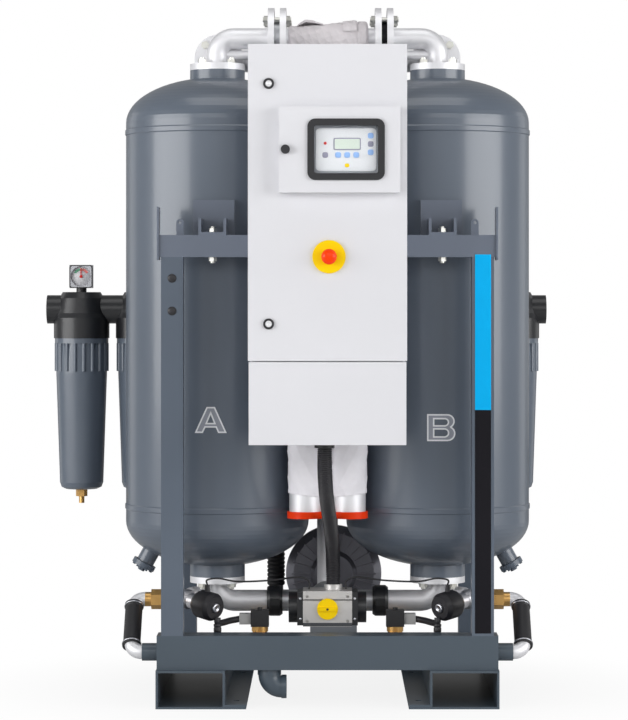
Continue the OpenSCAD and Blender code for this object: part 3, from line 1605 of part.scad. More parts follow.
fork_tubes();
manifold_beam();
rear_cross_beam();
posts();
top_beams();
vessel_a();
vessel_b();
desiccant_beds();
bed_screens();
drain_port_covers();
vessel_brackets();
top_spools();
check_valves();
hot_air_manifold();
manifold_wrap();
outlet_header();
flange_bolts();
heater_columns();
heater_jackets();
heater_end_seals();
heater_elements();
heater_feed_pipe();
blower_housing();
blower_impeller();
blower_motor();
blower_hose();
lower_spools();
pipe_couplings();
valve_body();
valve_stem();
inlet_pipe();
brass_valve_bodies();
solenoid_coils();
actuator_body();
actuator_end_caps();
position_indicator();
angle_valve_actuators();
exhaust_elbows();
exhaust_hoses();
filter_heads();
filter_bowls();
filter_elements();
filter_drains();
dp_gauge();
gauge_needle();
cabinet_shell();
cable_cover();
mounting_plate();
control_gear();
cabinet_door();
window_door();
window_pane();
window_gasket();
controller();
upper_door_lock();
lower_door_lock();
window_lock();
estop_collar();
estop_button();
control_cables();
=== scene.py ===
import bmesh
import bpy
import numpy as np
from mathutils import Matrix, Vector


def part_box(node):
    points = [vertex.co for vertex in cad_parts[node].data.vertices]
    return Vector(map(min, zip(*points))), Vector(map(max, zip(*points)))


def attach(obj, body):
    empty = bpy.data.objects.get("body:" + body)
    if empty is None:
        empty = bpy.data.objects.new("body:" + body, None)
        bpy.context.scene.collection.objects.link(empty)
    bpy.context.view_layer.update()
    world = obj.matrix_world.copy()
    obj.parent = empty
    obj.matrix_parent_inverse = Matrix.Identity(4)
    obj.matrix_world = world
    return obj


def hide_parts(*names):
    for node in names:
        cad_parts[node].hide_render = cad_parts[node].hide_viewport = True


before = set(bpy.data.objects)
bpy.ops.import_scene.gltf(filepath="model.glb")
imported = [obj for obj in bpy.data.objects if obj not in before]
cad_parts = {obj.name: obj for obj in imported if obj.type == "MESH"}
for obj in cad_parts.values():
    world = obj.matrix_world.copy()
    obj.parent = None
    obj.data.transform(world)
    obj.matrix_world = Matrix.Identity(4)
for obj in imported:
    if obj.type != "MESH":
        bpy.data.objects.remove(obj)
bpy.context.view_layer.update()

# Studio. The dryer stands on a pale floor in an even white room, seen from the front at about
# half its height through a long lens, with a broad soft panel of light on either side.

scene = bpy.context.scene
scene.view_settings.view_transform = "Standard"
photo_width, photo_height = 628, 720
lens_mm = 141.5
sensor_mm = 36.0
optical_axis_px = (327.5, 307.0)
camera_distance = 8.066
camera_height = 1.092

camera_data = bpy.data.cameras.new("studio_camera")
camera_data.lens = lens_mm
camera_data.sensor_width = sensor_mm
camera_data.shift_x = (photo_width / 2 - optical_axis_px[0]) / photo_height
camera_data.shift_y = (optical_axis_px[1] - photo_height / 2) / photo_height
camera = bpy.data.objects.new("studio_camera", camera_data)
level_turn = Matrix.Rotation(np.pi / 2, 4, "X")
camera.matrix_world = Matrix.Translation((0, -camera_distance, camera_height)) @ level_turn
scene.collection.objects.link(camera)
scene.camera = camera


def soft_panel(name, place, target, size, power):
    """A rectangular lamp at place, its face turned to target."""
    lamp = bpy.data.lights.new(name, "AREA")
    lamp.shape = "RECTANGLE"
    lamp.size, lamp.size_y = size
    lamp.energy = power
    panel = bpy.data.objects.new(name, lamp)
    facing = (Vector(target) - Vector(place)).to_track_quat("-Z", "Y")
    panel.matrix_world = Matrix.Translation(place) @ facing.to_matrix().to_4x4()
    scene.collection.objects.link(panel)


soft_panel("left_panel", (-6.0, -3.6, 2.1), (0, 0, 1.2), (6.5, 3.2), 360)
soft_panel("right_panel", (6.0, -3.6, 2.1), (0, 0, 1.2), (6.5, 3.2), 340)
soft_panel("front_panel", (0, -8.5, 3.6), (0, 0, 1.2), (8.0, 2.4), 120)
soft_panel("left_rim", (-3.2, 2.3, 1.4), (0, 0, 1.0), (1.2, 3.0), 8)
soft_panel("right_rim", (3.2, 2.3, 1.4), (0, 0, 1.0), (1.2, 3.0), 8)
soft_panel("top_panel", (0, -0.8, 4.5), (0, 0, 1.0), (3.2, 2.0), 36)


def add_node(tree, kind, inputs=(), **settings):
    """A new shader node with its settings and the values of its unlinked inputs."""
    made = tree.nodes.new("ShaderNode" + kind)
    for setting, value in settings.items():
        setattr(made, setting, value)
    for socket, value in dict(inputs).items():
        made.inputs[socket].default_value = value
    return made


def wire(tree, *runs):
    """Links an output of one node to an input of another, for each run of node, socket, node, socket."""
    for source, outlet, target, inlet in runs:
        tree.links.new(source.outputs[outlet], target.inputs[inlet])


# The room looks white to the camera, but gives little light of its own and only faint reflections.
room = bpy.data.worlds.new("white_room")
scene.world = room
room.use_nodes = True
room_light = room.node_tree.nodes["Background"]
room_light.inputs["Color"].default_value = (1, 1, 1, 1)
ray = add_node(room.node_tree, "LightPath")
seen = add_node(room.node_tree, "Math", operation="MAXIMUM")
glossy_share = add_node(room.node_tree, "Math", {1: 0.25}, operation="MULTIPLY")
brightest = add_node(room.node_tree, "Math", operation="MAXIMUM")
room_level = add_node(room.node_tree, "MapRange", {"To Min": 0.08, "To Max": 1.0})
wire(room.node_tree, (ray, "Is Camera Ray", seen, 0), (ray, "Is Transmission Ray", seen, 1),
     (ray, "Is Glossy Ray", glossy_share, 0), (seen, 0, brightest, 0), (glossy_share, 0, brightest, 1),
     (brightest, 0, room_level, "Value"), (room_level, "Result", room_light, "Strength"))

floor_reach = 14.0
floor_mesh = bpy.data.meshes.new("pale_floor")
floor_corners = np.array([[-1, -1, 0], [1, -1, 0], [1, 1, 0], [-1, 1, 0]]) * floor_reach
floor_mesh.from_pydata(floor_corners.tolist(), [], [(0, 1, 2, 3)])
floor = bpy.data.objects.new("pale_floor", floor_mesh)
scene.collection.objects.link(floor)

# The floor is lit near the skid, where it takes the shadow, and fades to plain white further out.
floor_paint = bpy.data.materials.new("pale_floor")
floor_paint.use_nodes = True
floor_tree = floor_paint.node_tree
floor_shader = floor_tree.nodes["Principled BSDF"]
floor_shader.inputs["Base Color"].default_value = (0.86, 0.86, 0.86, 1)
floor_shader.inputs["Roughness"].default_value = 0.7
floor_shader.inputs["Specular IOR Level"].default_value = 0.1
glow = add_node(floor_tree, "Emission", {"Strength": 1.0})
floor_place = add_node(floor_tree, "TexCoord")
oval = add_node(floor_tree, "Mapping", {"Scale": (0.9, 1.0, 1.0)})
away = add_node(floor_tree, "VectorMath", operation="LENGTH")
fade = add_node(floor_tree, "MapRange", {"From Min": 0.25, "From Max": 1.15, "To Min": 0.86, "To Max": 1.0},
                interpolation_type="SMOOTHSTEP")
eye = add_node(floor_tree, "LightPath")
glow_share = add_node(floor_tree, "Math", operation="MULTIPLY")
floor_blend = add_node(floor_tree, "MixShader")
wire(floor_tree, (floor_place, "Object", oval, "Vector"), (oval, "Vector", away, 0),
     (away, "Value", fade, "Value"), (fade, "Result", glow_share, 0), (eye, "Is Camera Ray", glow_share, 1),
     (glow_share, 0, floor_blend, "Fac"), (floor_shader, "BSDF", floor_blend, 1),
     (glow, "Emission", floor_blend, 2),
     (floor_blend, "Shader", floor_tree.nodes["Material Output"], "Surface"))
floor_mesh.materials.append(floor_paint)

# Skid and frame. Fork tubes, square posts and beams are welded box section, powder coated in a slate
# blue-grey with faint orange peel. The top beams and vessel brackets take a paler copy of the coat as painted
# light from above, and the fork tubes and low beams take a darker copy as painted shade.


def linear(red, green, blue):
    """Scene colour of an 8-bit screen colour."""
    shade = np.array([red, green, blue]) / 255
    light = np.where(shade <= 0.04045, shade / 12.92, ((shade + 0.055) / 1.055) ** 2.4)
    return (*light.tolist(), 1.0)


def surface_group(name, fine_scale, coarse_scale, fine_detail):
    """A node group that varies a colour and a roughness over the surface and gives a bump height.

    Coarse noise moves colour and roughness a little either way, and fine noise is the height."""
    group = bpy.data.node_groups.new(name, "ShaderNodeTree")
    for way, sockets in (("INPUT", ("Colour", "Roughness", "Variation")),
                         ("OUTPUT", ("Colour", "Roughness", "Height"))):
        for socket in sockets:
            kind = "NodeSocketColor" if socket == "Colour" else "NodeSocketFloat"
            group.interface.new_socket(socket, in_out=way, socket_type=kind)
    inlet = group.nodes.new("NodeGroupInput")
    outlet = group.nodes.new("NodeGroupOutput")
    position = add_node(group, "TexCoord")
    coarse = add_node(group, "TexNoise", {"Scale": coarse_scale, "Detail": 3})
    fine = add_node(group, "TexNoise", {"Scale": fine_scale, "Detail": fine_detail})
    swing = add_node(group, "MapRange", {"From Min": 0.25, "From Max": 0.75, "To Min": -1.0})
    depth = add_node(group, "Math", {2: 1.0}, operation="MULTIPLY_ADD")
    tint = add_node(group, "VectorMath", operation="SCALE")
    rough = add_node(group, "Math", operation="MULTIPLY")
    wire(group, (position, "Object", coarse, "Vector"), (position, "Object", fine, "Vector"),
         (coarse, "Fac", swing, "Value"), (swing, "Result", depth, 0), (inlet, "Variation", depth, 1),
         (inlet, "Colour", tint, 0), (depth, 0, tint, "Scale"), (tint, 0, outlet, "Colour"),
         (inlet, "Roughness", rough, 0), (depth, 0, rough, 1), (rough, 0, outlet, "Roughness"),
         (fine, "Fac", outlet, "Height"))
    return group


def surface(name, group, colour, roughness, variation, bump, relief=0.0004, metallic=0.0, coat=0.0):
    """A material whose 8-bit screen colour, roughness and relief go through a surface group."""
    material = bpy.data.materials.new(name)
    material.use_nodes = True
    tree = material.node_tree
    shader = tree.nodes["Principled BSDF"]
    shader.inputs["Metallic"].default_value = metallic
    shader.inputs["Coat Weight"].default_value = coat
    shader.inputs["Coat Roughness"].default_value = 0.15
    look = {"Colour": linear(*colour), "Roughness": roughness, "Variation": variation}
    skin = add_node(tree, "Group", look, node_tree=group)
    height = add_node(tree, "Bump", {"Strength": bump, "Distance": relief})
    wire(tree, (skin, "Colour", shader, "Base Color"), (skin, "Roughness", shader, "Roughness"),
         (skin, "Height", height, "Height"), (height, "Normal", shader, "Normal"))
    return material


def dress(material, *names):
    """Gives CAD nodes one material all over."""
    for name in names:
        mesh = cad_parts[name].data
        mesh.materials.clear()
        mesh.materials.append(material)


def two_tone(name, group, colours, axis, middle, half, roughness, variation, bump, metallic=0.0,
             mirrored=True):
    """A surface of two colours: the second shows within a span along an axis, mirrored about zero or not."""
    material = surface(name, group, colours[0], roughness, variation, bump, metallic=metallic)
    tree = material.node_tree
    place = add_node(tree, "TexCoord")
    split = add_node(tree, "SeparateXYZ")
    distance = add_node(tree, "Math", {1: 0}, operation="ABSOLUTE" if mirrored else "ADD")
    within = add_node(tree, "Math", {1: middle, 2: half}, operation="COMPARE")
    blend = add_node(tree, "MixRGB", {"Color1": linear(*colours[0]), "Color2": linear(*colours[1])})
    wire(tree, (place, "Object", split, "Vector"), (split, axis, distance, 0), (distance, 0, within, 0),
         (within, 0, blend, "Fac"), (blend, "Color", tree.nodes["Group"], "Colour"))
    return material


powder_coat = surface_group("powder_coat", 420, 2.2, 2)
slate = surface("slate_powder_coat", powder_coat, (92, 101, 113), 0.33, 0.05, 0.10, coat=0.32)
slate_frame = surface("slate_frame_coat", powder_coat, (84, 94, 107), 0.38, 0.06, 0.12, coat=0.10)
# The beam coat is the frame coat darkened as painted shade at the foot, and the top coat is the frame coat
# lightened as painted light on the top beams and brackets.
slate_painted_shade = surface("slate_beam_painted_shade", powder_coat, (68, 79, 89), 0.40, 0.06, 0.12, coat=0.08)
slate_painted_light = surface("slate_top_painted_light", powder_coat, (101, 109, 123), 0.38, 0.05, 0.12, coat=0.10)
dress(slate_frame, "posts")
dress(slate_painted_light, "top_beams", "vessel_brackets")
dress(slate_painted_shade, "fork_tubes", "manifold_beam", "rear_cross_beam")

# Colour strip on the right front post. A long self-adhesive strip, cyan above and black below,
# covers most of the post's front face.


def piece(name, vertices, faces, material, body, smooth=True):
    """A mesh object at the origin that rides on a body."""
    mesh = bpy.data.meshes.new(name)
    corners = [tuple(int(i) for i in face) for face in faces]
    mesh.from_pydata(np.asarray(vertices).reshape(-1, 3).tolist(), [], corners)
    mesh.polygons.foreach_set("use_smooth", np.full(len(mesh.polygons), smooth))
    mesh.materials.append(material)
    made = bpy.data.objects.new(name, mesh)
    scene.collection.objects.link(made)
    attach(made, body)
    return made


def grid_faces(rows, columns, wrap_rows=False, wrap_columns=False):
    """Quads of a grid of points, rows by columns, closed where it wraps."""
    i = np.arange(rows if wrap_rows else rows - 1)
    j = np.arange(columns if wrap_columns else columns - 1)
    a, b = np.meshgrid(i, j, indexing="ij")
    a2 = (a + 1) % rows
    b2 = (b + 1) % columns
    corners = [a * columns + b, a * columns + b2, a2 * columns + b2, a2 * columns + b]
    return np.stack(corners, axis=-1).reshape(-1, 4)


def slab(low, high):
    """Corner points and faces of a closed box between two corners."""
    low, high = np.minimum(low, high), np.maximum(low, high)
    pick = np.array([[0, 0, 0], [1, 0, 0], [1, 1, 0], [0, 1, 0], [0, 0, 1], [1, 0, 1], [1, 1, 1], [0, 1, 1]])
    faces = [(0, 3, 2, 1), (4, 5, 6, 7), (0, 1, 5, 4), (1, 2, 6, 5), (2, 3, 7, 6), (3, 0, 4, 7)]
    return low + pick * (np.asarray(high) - low), faces


def dull(material):
    """Takes most of the mirror gloss off a saturated film or moulding."""
    material.node_tree.nodes["Principled BSDF"].inputs["Specular IOR Level"].default_value = 0.12
    return material


posts_low, posts_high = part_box("posts")
post_side = 0.060
strip_w = 0.0435
strip_t = 0.0008
strip_mid = posts_high.x - post_side / 2
strip_foot_z, strip_joint_z, strip_top_z = 0.204, 0.812, 1.235
film_sink = 0.0001
moulded = surface_group("moulded_grain", 900, 6.0, 3)
cyan_film = dull(surface("cyan_film", moulded, (0, 178, 242), 0.42, 0.03, 0.05))
black_film = dull(surface("black_film", moulded, (24, 23, 28), 0.40, 0.04, 0.05))
for part, film, low_z, high_z in (("upper", cyan_film, strip_joint_z, strip_top_z),
                                  ("lower", black_film, strip_foot_z, strip_joint_z)):
    points, faces = slab((strip_mid - strip_w / 2, posts_low.y - strip_t, low_z),
                         (strip_mid + strip_w / 2, posts_low.y - film_sink, high_z))
    piece("post_strip_" + part, points, faces, film, "skid", smooth=False)

# Plugged holes. Two unused cable holes in the left front post are closed with domed plugs
# of black polyethylene, pressed in from the front.


def unit(vectors):
    """Vectors of the same heading and of length one."""
    return vectors / np.linalg.norm(vectors, axis=-1, keepdims=True)


def turned(profile, axis_point, axis, steps=48):
    """A surface of revolution: each (radius, along) of the profile turns about the axis in equal steps."""
    profile = np.asarray(profile, float)
    axis = unit(np.asarray(axis, float))
    side = unit(np.cross(axis, (0.31, 0.52, 0.79)))
    other = np.cross(axis, side)
    turn = np.linspace(0, 2 * np.pi, steps, endpoint=False)
    ring = np.cos(turn)[:, None] * side + np.sin(turn)[:, None] * other
    along = np.asarray(axis_point) + profile[None, :, 1, None] * axis
    points = along + profile[None, :, 0, None] * ring[:, None, :]
    return points.reshape(-1, 3), grid_faces(steps, len(profile), wrap_rows=True)


def closed_piece(name, vertices, faces, material, body, smooth=True):
    """A piece with the points that fall on one place merged and all faces turned outward."""
    made = piece(name, vertices, faces, material, body, smooth)
    shape = bmesh.new()
    shape.from_mesh(made.data)
    bmesh.ops.remove_doubles(shape, verts=shape.verts, dist=1e-6)
    bmesh.ops.recalc_face_normals(shape, faces=shape.faces)
    shape.to_mesh(made.data)
    shape.free()
    return made


def turned_piece(name, profile, axis_point, axis, material, body, steps=48):
    """A turned piece whose profile starts and ends on the axis, so that its ends are welded shut."""
    return closed_piece(name, *turned(profile, axis_point, axis, steps), material, body)


black_moulding = surface("black_moulding", moulded, (34, 33, 37), 0.44, 0.08, 0.25)
plug_profile = [(0, -0.0034), (0.005, -0.0032), (0.0095, -0.0022), (0.0118, -0.0008), (0.0122, 0),
                (0.0105, 0.0002), (0, 0.0002)]
plug_heights = (1.081, 1.170)
for number, plug_z in enumerate(plug_heights):
    plug_at = (posts_low.x + post_side / 2, posts_low.y, plug_z)
    plug = turned_piece(f"post_plug_{number + 1}", plug_profile, plug_at, (0, 1, 0), black_moulding, "skid")

# Towers. Rolled plate shells with pressed heads, welded at two girth seams, take a glossier coat of
# the frame's blue-grey, and each wears its letter as a grey film with a white outline.
dress(slate, "vessel_a", "vessel_b")
dress(slate_frame, "drain_port_covers")
vessel_centre_x = 0.3135
vessel_radius = 0.260
film_root = -0.0002
fill_lift = 0.0002
outline_lift = 0.0004
outline_half = 0.0021
white_decal = surface("white_decal", moulded, (236, 238, 240), 0.45, 0.02, 0.03)
letter_film = surface("letter_film", moulded, (150, 154, 164), 0.45, 0.02, 0.03)


def arc(centre_x, centre_y, radius, start, end, count=10):
    """Points on a circular arc between two angles in degrees."""
    turn = np.radians(np.linspace(start, end, count))
    return np.stack([centre_x + radius * np.cos(turn), centre_y + radius * np.sin(turn)], axis=1)


def outline_ribbon(loop, half_width, spacing=0.004, least_mitre=0.45):
    """Edges of a flat ribbon along a closed outline: they lie half a width to either side, mitred."""
    loop = np.asarray(loop, float)
    closed = np.vstack([loop, loop[:1]])
    pieces = []
    for a, b in zip(closed[:-1], closed[1:]):
        count = max(1, int(np.ceil(np.linalg.norm(b - a) / spacing)))
        pieces.append(a + (b - a) * np.linspace(0, 1, count, endpoint=False)[:, None])
    line = np.vstack(pieces)
    before = unit(line - np.roll(line, 1, axis=0))
    after = unit(np.roll(line, -1, axis=0) - line)
    across = unit((before + after)[:, ::-1] * (-1, 1))
    mitre = np.clip(across[:, 0] * -after[:, 1] + across[:, 1] * after[:, 0], least_mitre, 1)
    reach = across * (half_width / mitre)[:, None]
    return line - reach, line + reach


def xyz(x, y, z):
    """Points from their coordinates, which are broadcast together."""
    return np.stack(np.broadcast_arrays(x, y, z), axis=-1)


def on_tower(centre_x, across, lift, up):
    """Points on a tower's front: across is an arc length about its axis, and lift stands off the shell."""
    turn = across / vessel_radius
    reach = vessel_radius + lift
    return xyz(centre_x + reach * np.sin(turn), -reach * np.cos(turn), up)


def tower_letter(name, outlines, centre_x, offset_x, foot_z, width, height):
    """A closed ribbon on the tower along each outline, which is given in unit size."""
    points = []
    faces = []
    for outline in outlines:
        inner, outer = outline_ribbon(np.asarray(outline) * (width, height), outline_half)
        corners = ((inner, film_root), (inner, outline_lift), (outer, outline_lift), (outer, film_root))
        rows = [on_tower(centre_x, edge[:, 0] + offset_x, lift, foot_z + edge[:, 1])
                for edge, lift in corners]
        faces.append(grid_faces(len(inner), 4, True, True) + sum(len(p) for p in points))
        points.append(np.stack(rows, axis=1).reshape(-1, 3))
    made = closed_piece(name, np.vstack(points), np.vstack(faces), white_decal, "skid", smooth=False)
    return made


def tower_fill(name, outlines, centre_x, offset_x, foot_z, width, height, levels=60, columns=6):
    """A letter's inside as level strips: each level crosses the outlines in pairs, and a strip fills each.

    A strip is a little lower than its level, so that strips stay apart."""
    points = []
    faces = []
    edges = np.vstack([np.stack([loop, np.roll(loop, -1, axis=0)], axis=1)
                       for loop in map(np.asarray, outlines)])
    half = 0.49 / levels
    corners = ((-half, film_root), (-half, fill_lift), (half, fill_lift), (half, film_root))
    strip_size = columns * len(corners)
    for level in (np.arange(levels) + 0.5) / levels:
        cut = edges[(edges[:, 0, 1] > level) != (edges[:, 1, 1] > level)]
        share = (level - cut[:, 0, 1]) / (cut[:, 1, 1] - cut[:, 0, 1])
        crossings = np.sort(cut[:, 0, 0] + share * (cut[:, 1, 0] - cut[:, 0, 0]))
        for start, end in zip(crossings[::2], crossings[1::2]):
            across = np.linspace(start, end, columns) * width + offset_x
            strip = [on_tower(centre_x, across, lift, foot_z + (level + up) * height) for up, lift in corners]
            first = strip_size * len(points)
            last = first + strip_size
            faces += (grid_faces(columns, 4, wrap_columns=True) + first).tolist()
            faces += [tuple(range(first, first + 4)), tuple(range(last - 4, last))]
            points.append(np.stack(strip, axis=1).reshape(-1, 3))
    made = closed_piece(name, np.vstack(points), faces, letter_film, "skid", smooth=False)
    return made


letter_a = [
    [(-0.465, 0.03), (-0.11, 0.965), (0.12, 0.965), (0.465, 0.03), (0.25, 0.03), (0.175, 0.235),
     (-0.175, 0.235), (-0.26, 0.03)],
    [(-0.139, 0.36), (0.134, 0.36), (0.003, 0.77)],
]
letter_b = [
    np.vstack([[(-0.47, 0.04), (0.20, 0.04)], arc(0.22, 0.29, 0.25, -90, 62), arc(0.21, 0.73, 0.235, -60, 90),
               [(-0.47, 0.965)]]),
    np.vstack([[(-0.265, 0.165), (0.10, 0.165)], arc(0.11, 0.312, 0.147, -80, 80, 7), [(-0.265, 0.459)]]),
    np.vstack([[(-0.265, 0.566), (0.11, 0.566)], arc(0.12, 0.698, 0.132, -80, 80, 7), [(-0.265, 0.83)]]),
]
for mark, outlines, place in (("a", letter_a, (-vessel_centre_x, -0.009, 0.7442, 0.0888, 0.0727)),
                              ("b", letter_b, (vessel_centre_x, 0.0004, 0.7209, 0.0792, 0.0763))):
    tower_letter("tower_letter_" + mark, outlines, *place)
    tower_fill("tower_fill_" + mark, outlines, *place)

# Top piping. Stainless bends with welded flanges meet two cast wafer check valves, drawn
# together by zinc plated studs. The hidden beds and screens stay as they come off the sieve.
brushed = surface_group("brushed_metal", 260, 5.0, 4)
steel = surface("satin_steel", brushed, (198, 199, 205), 0.30, 0.10, 0.06, metallic=1.0)
zinc = surface("zinc_plate", brushed, (206, 206, 200), 0.36, 0.12, 0.10, metallic=1.0)
cast_group = surface_group("cast_skin", 240, 9.0, 5)
cast_grey = (186, 188, 192)
near_black = (30, 30, 33)
cast = surface("cast_aluminium", cast_group, cast_grey, 0.42, 0.08, 0.35, metallic=0.85)
check_valve_coat = two_tone("check_valve_coat", cast_group, (cast_grey, near_black), "X", 0.25, 0.20,
                            0.42, 0.08, 0.35, metallic=0.85, mirrored=False)
bead_bed = surface_group("bead_bed", 330, 40, 1)
beads = surface("desiccant_beads", bead_bed, (214, 204, 190), 0.8, 0.2, 0.9, relief=0.002)
pipe_steel = surface("satin_pipe", brushed, (228, 228, 231), 0.50, 0.05, 0.04, metallic=0.55)
dress(pipe_steel, "top_spools", "hot_air_manifold", "outlet_header")
dress(steel, "bed_screens")
dress(check_valve_coat, "check_valves")
dress(zinc, "flange_bolts")
dress(beads, "desiccant_beds")

# Insulation wrap. A padded glass cloth is wound round the hot air manifold between the flanges,
# fuller at its right end, with a loose fold that stands open on top and a patch sewn on in front.
cloth_group = surface_group("woven_cloth", 60, 14, 2)
crossing = add_node(cloth_group, "Math", operation="ADD")
for number, thread_turn in enumerate(((0, 0, 0), (0, np.pi / 2, 0))):
    lie = add_node(cloth_group, "Mapping", {"Rotation": thread_turn})
    thread = add_node(cloth_group, "TexWave", {"Scale": 190, "Distortion": 0.6}, bands_direction="X")
    wire(cloth_group, (cloth_group.nodes["Texture Coordinate"], "Object", lie, "Vector"),
         (lie, "Vector", thread, "Vector"), (thread, "Fac", crossing, number))
wire(cloth_group, (crossing, 0, cloth_group.nodes["Group Output"], "Height"))
glass_cloth = surface("glass_cloth", cloth_group, (215, 210, 213), 0.82, 0.08, 0.5, relief=0.0006)
wrap_low, wrap_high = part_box("manifold_wrap")
wrap_z = (wrap_low.z + wrap_high.z) / 2
wrap_limit = (wrap_high.y - wrap_low.y) / 2 - 0.0003
hot_pipe_r = 0.0305
wrap_ends = (wrap_low.x, wrap_high.x - 0.013)
wrap_hem = 0.010
tie_x = 0.085
wrap_stations = [wrap_ends[0], -0.070, 0.0, 0.050, wrap_ends[1]]
wrap_radii = [0.0345, 0.0360, 0.0410, 0.0465, 0.0485]
wrap_creases = [(3, 2.1, 0.3, 0.0007), (-5, 4.2, 1.1, 0.0006), (2, -6.0, 2.0, 0.0006), (9, 1.2, 0.5, 0.0003)]


def folds(across, along, seeds):
    """Soft folds: a few sine waves cross at odd angles, each squared up to wide hollows and narrow ridges."""
    total = np.zeros(np.broadcast(across, along).shape)
    for rate_a, rate_b, phase, depth in seeds:
        wave = np.sin(rate_a * across + rate_b * along + phase)
        total += depth * (1 - np.sqrt(np.abs(wave) + 0.02)) * 2
    return total


def wrap_reach(x, turn):
    """Radius of the wrap: it grows from left to right, with round hems, folds and a tie at the right."""
    full = np.interp(x, wrap_stations, wrap_radii)
    hem = np.clip(np.minimum(x - wrap_ends[0], wrap_ends[1] - x) / wrap_hem, 0, 1)
    round_hem = np.sqrt(1 - (1 - hem) ** 2)
    ripple = folds(turn, x * 26, wrap_creases)
    tie = 0.0010 * np.clip((x - tie_x - 0.003) / 0.003, 0, 1) - 0.0016 * np.exp(-((x - tie_x) / 0.002) ** 2)
    foot = hot_pipe_r + 0.0014
    return np.minimum(foot + (full + ripple + tie - foot) * round_hem, wrap_limit)


def thick_sheet(name, points, lift, material):
    """A closed thin sheet: a grid of points below, the same grid raised by lift above, stitched all round."""
    rows, columns = points.shape[:2]
    ring = np.concatenate([points, (points + lift)[:, ::-1]], axis=1)
    faces = grid_faces(rows, 2 * columns, wrap_columns=True).tolist()
    for start in (0, (rows - 1) * 2 * columns):
        end = start + 2 * columns - 1
        faces += [(start + c, start + c + 1, end - 1 - c, end - c) for c in range(columns - 1)]
    return closed_piece(name, ring, faces, material, "skid")


wrap_columns = 200
wrap_rows = 170
lining_rows = 12
turn = np.linspace(0, 2 * np.pi, wrap_columns, endpoint=False)[None, :]
wrap_x = np.linspace(*wrap_ends, wrap_rows)[:, None]
reach = wrap_reach(wrap_x, turn)
lining = hot_pipe_r + 0.0005
branch_gap = np.hypot(wrap_x, reach * np.cos(turn)) - hot_pipe_r - 0.0015
branch_gap = np.where(np.sin(turn) < 0, np.clip(branch_gap / 0.006, 0, 1), 1)
reach = lining + 0.0004 + (reach - lining - 0.0004) * branch_gap ** 2 * (3 - 2 * branch_gap)
outer = xyz(wrap_x, reach * np.cos(turn), wrap_z + reach * np.sin(turn))
lining_x = np.linspace(wrap_ends[1] - 0.0003, wrap_ends[0] + 0.0003, lining_rows)[:, None]
inner = xyz(lining_x, lining * np.cos(turn), wrap_z + lining * np.sin(turn))
wrap_faces = grid_faces(wrap_rows + lining_rows, wrap_columns, True, True)
wrap = closed_piece("insulation_wrap", np.vstack([outer, inner]), wrap_faces, glass_cloth, "skid")
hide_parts("manifold_wrap")

fold_from, fold_to = -0.086, -0.012
fold_front, fold_rear = -0.016, 0.024
fold_depth = fold_rear - fold_front
hem_share = 0.25
sheet_t = 0.0016
fold_x, fold_back = np.meshgrid(np.linspace(fold_from, fold_to, 40), np.linspace(0, 1, 24), indexing="ij")
fold_open = np.sin(np.pi * ((fold_x - fold_from) / (fold_to - fold_from)) ** 0.72)
fold_hem = np.clip(1 - fold_back / hem_share, 0, 1)
fold_y = fold_front + fold_depth * np.clip((fold_back - hem_share) / (1 - hem_share), 0, 1)
fold_turn = np.pi / 2 - np.arcsin(fold_y / 0.038)
fold_foot = np.sqrt(wrap_reach(fold_x, fold_turn) ** 2 - fold_y ** 2) + 0.0004
fold_slope = np.clip((fold_rear - fold_y) / fold_depth, 0, 1) ** 1.1
fold_rise = 0.0165 * fold_open * fold_slope - 0.0062 * fold_open * fold_hem
fold_points = xyz(fold_x, fold_y - sheet_t * np.sin(np.pi * fold_hem), wrap_z + fold_foot + fold_rise)
hem_turn = np.pi / 2 * fold_hem
fold_lift = sheet_t * xyz(0, -np.sin(hem_turn), np.cos(hem_turn))
wrap_fold = thick_sheet("wrap_fold", fold_points, fold_lift, glass_cloth)
patch_t = 0.0024
patch_x, patch_turn = np.meshgrid(np.linspace(0.043, 0.084, 24), np.radians(np.linspace(86, 160, 40)),
                                  indexing="ij")
patch_reach = wrap_reach(patch_x, patch_turn) + 0.0012 + 0.0016 * np.clip((patch_turn - 2.4) / 0.4, 0, 1)
patch_points = xyz(patch_x, patch_reach * np.cos(patch_turn), wrap_z + patch_reach * np.sin(patch_turn))
patch_lift = patch_t * xyz(0, np.cos(patch_turn), np.sin(patch_turn))
wrap_patch = thick_sheet("wrap_patch", patch_points, patch_lift, glass_cloth)

# Heaters. Two steel columns stand in white glass-fabric jackets that are laced shut, with a hem
# cut on the slant at the foot, bare bright cladding below it and a red silicone seal under each.
jacket_cloth = surface("jacket_cloth", cloth_group, (234, 232, 237), 0.85, 0.06, 0.35, relief=0.0005)
silicone = dull(surface("red_silicone", moulded, (232, 56, 8), 0.36, 0.05, 0.12, coat=0.1))
jackets_low, jackets_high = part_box("heater_jackets")
heater_axis_x = 0.061
heater_axis_y = (jackets_low.y + jackets_high.y) / 2
jacket_r = (jackets_high.y - jackets_low.y) / 2
column_r = 0.045
hem_slant = 0.010
hem_drop = 0.006
slimmer_by = 0.0110
jacket_creases = [(2, 0.35, 0.4, 0.0012), (-3, 0.52, 1.7, 0.0010), (5, -0.9, 0.2, 0.0007),
                  (-1, 1.3, 2.6, 0.0008)]
dress(pipe_steel, "heater_columns")
dress(steel, "heater_elements", "heater_feed_pipe")
dress(silicone, "heater_end_seals")


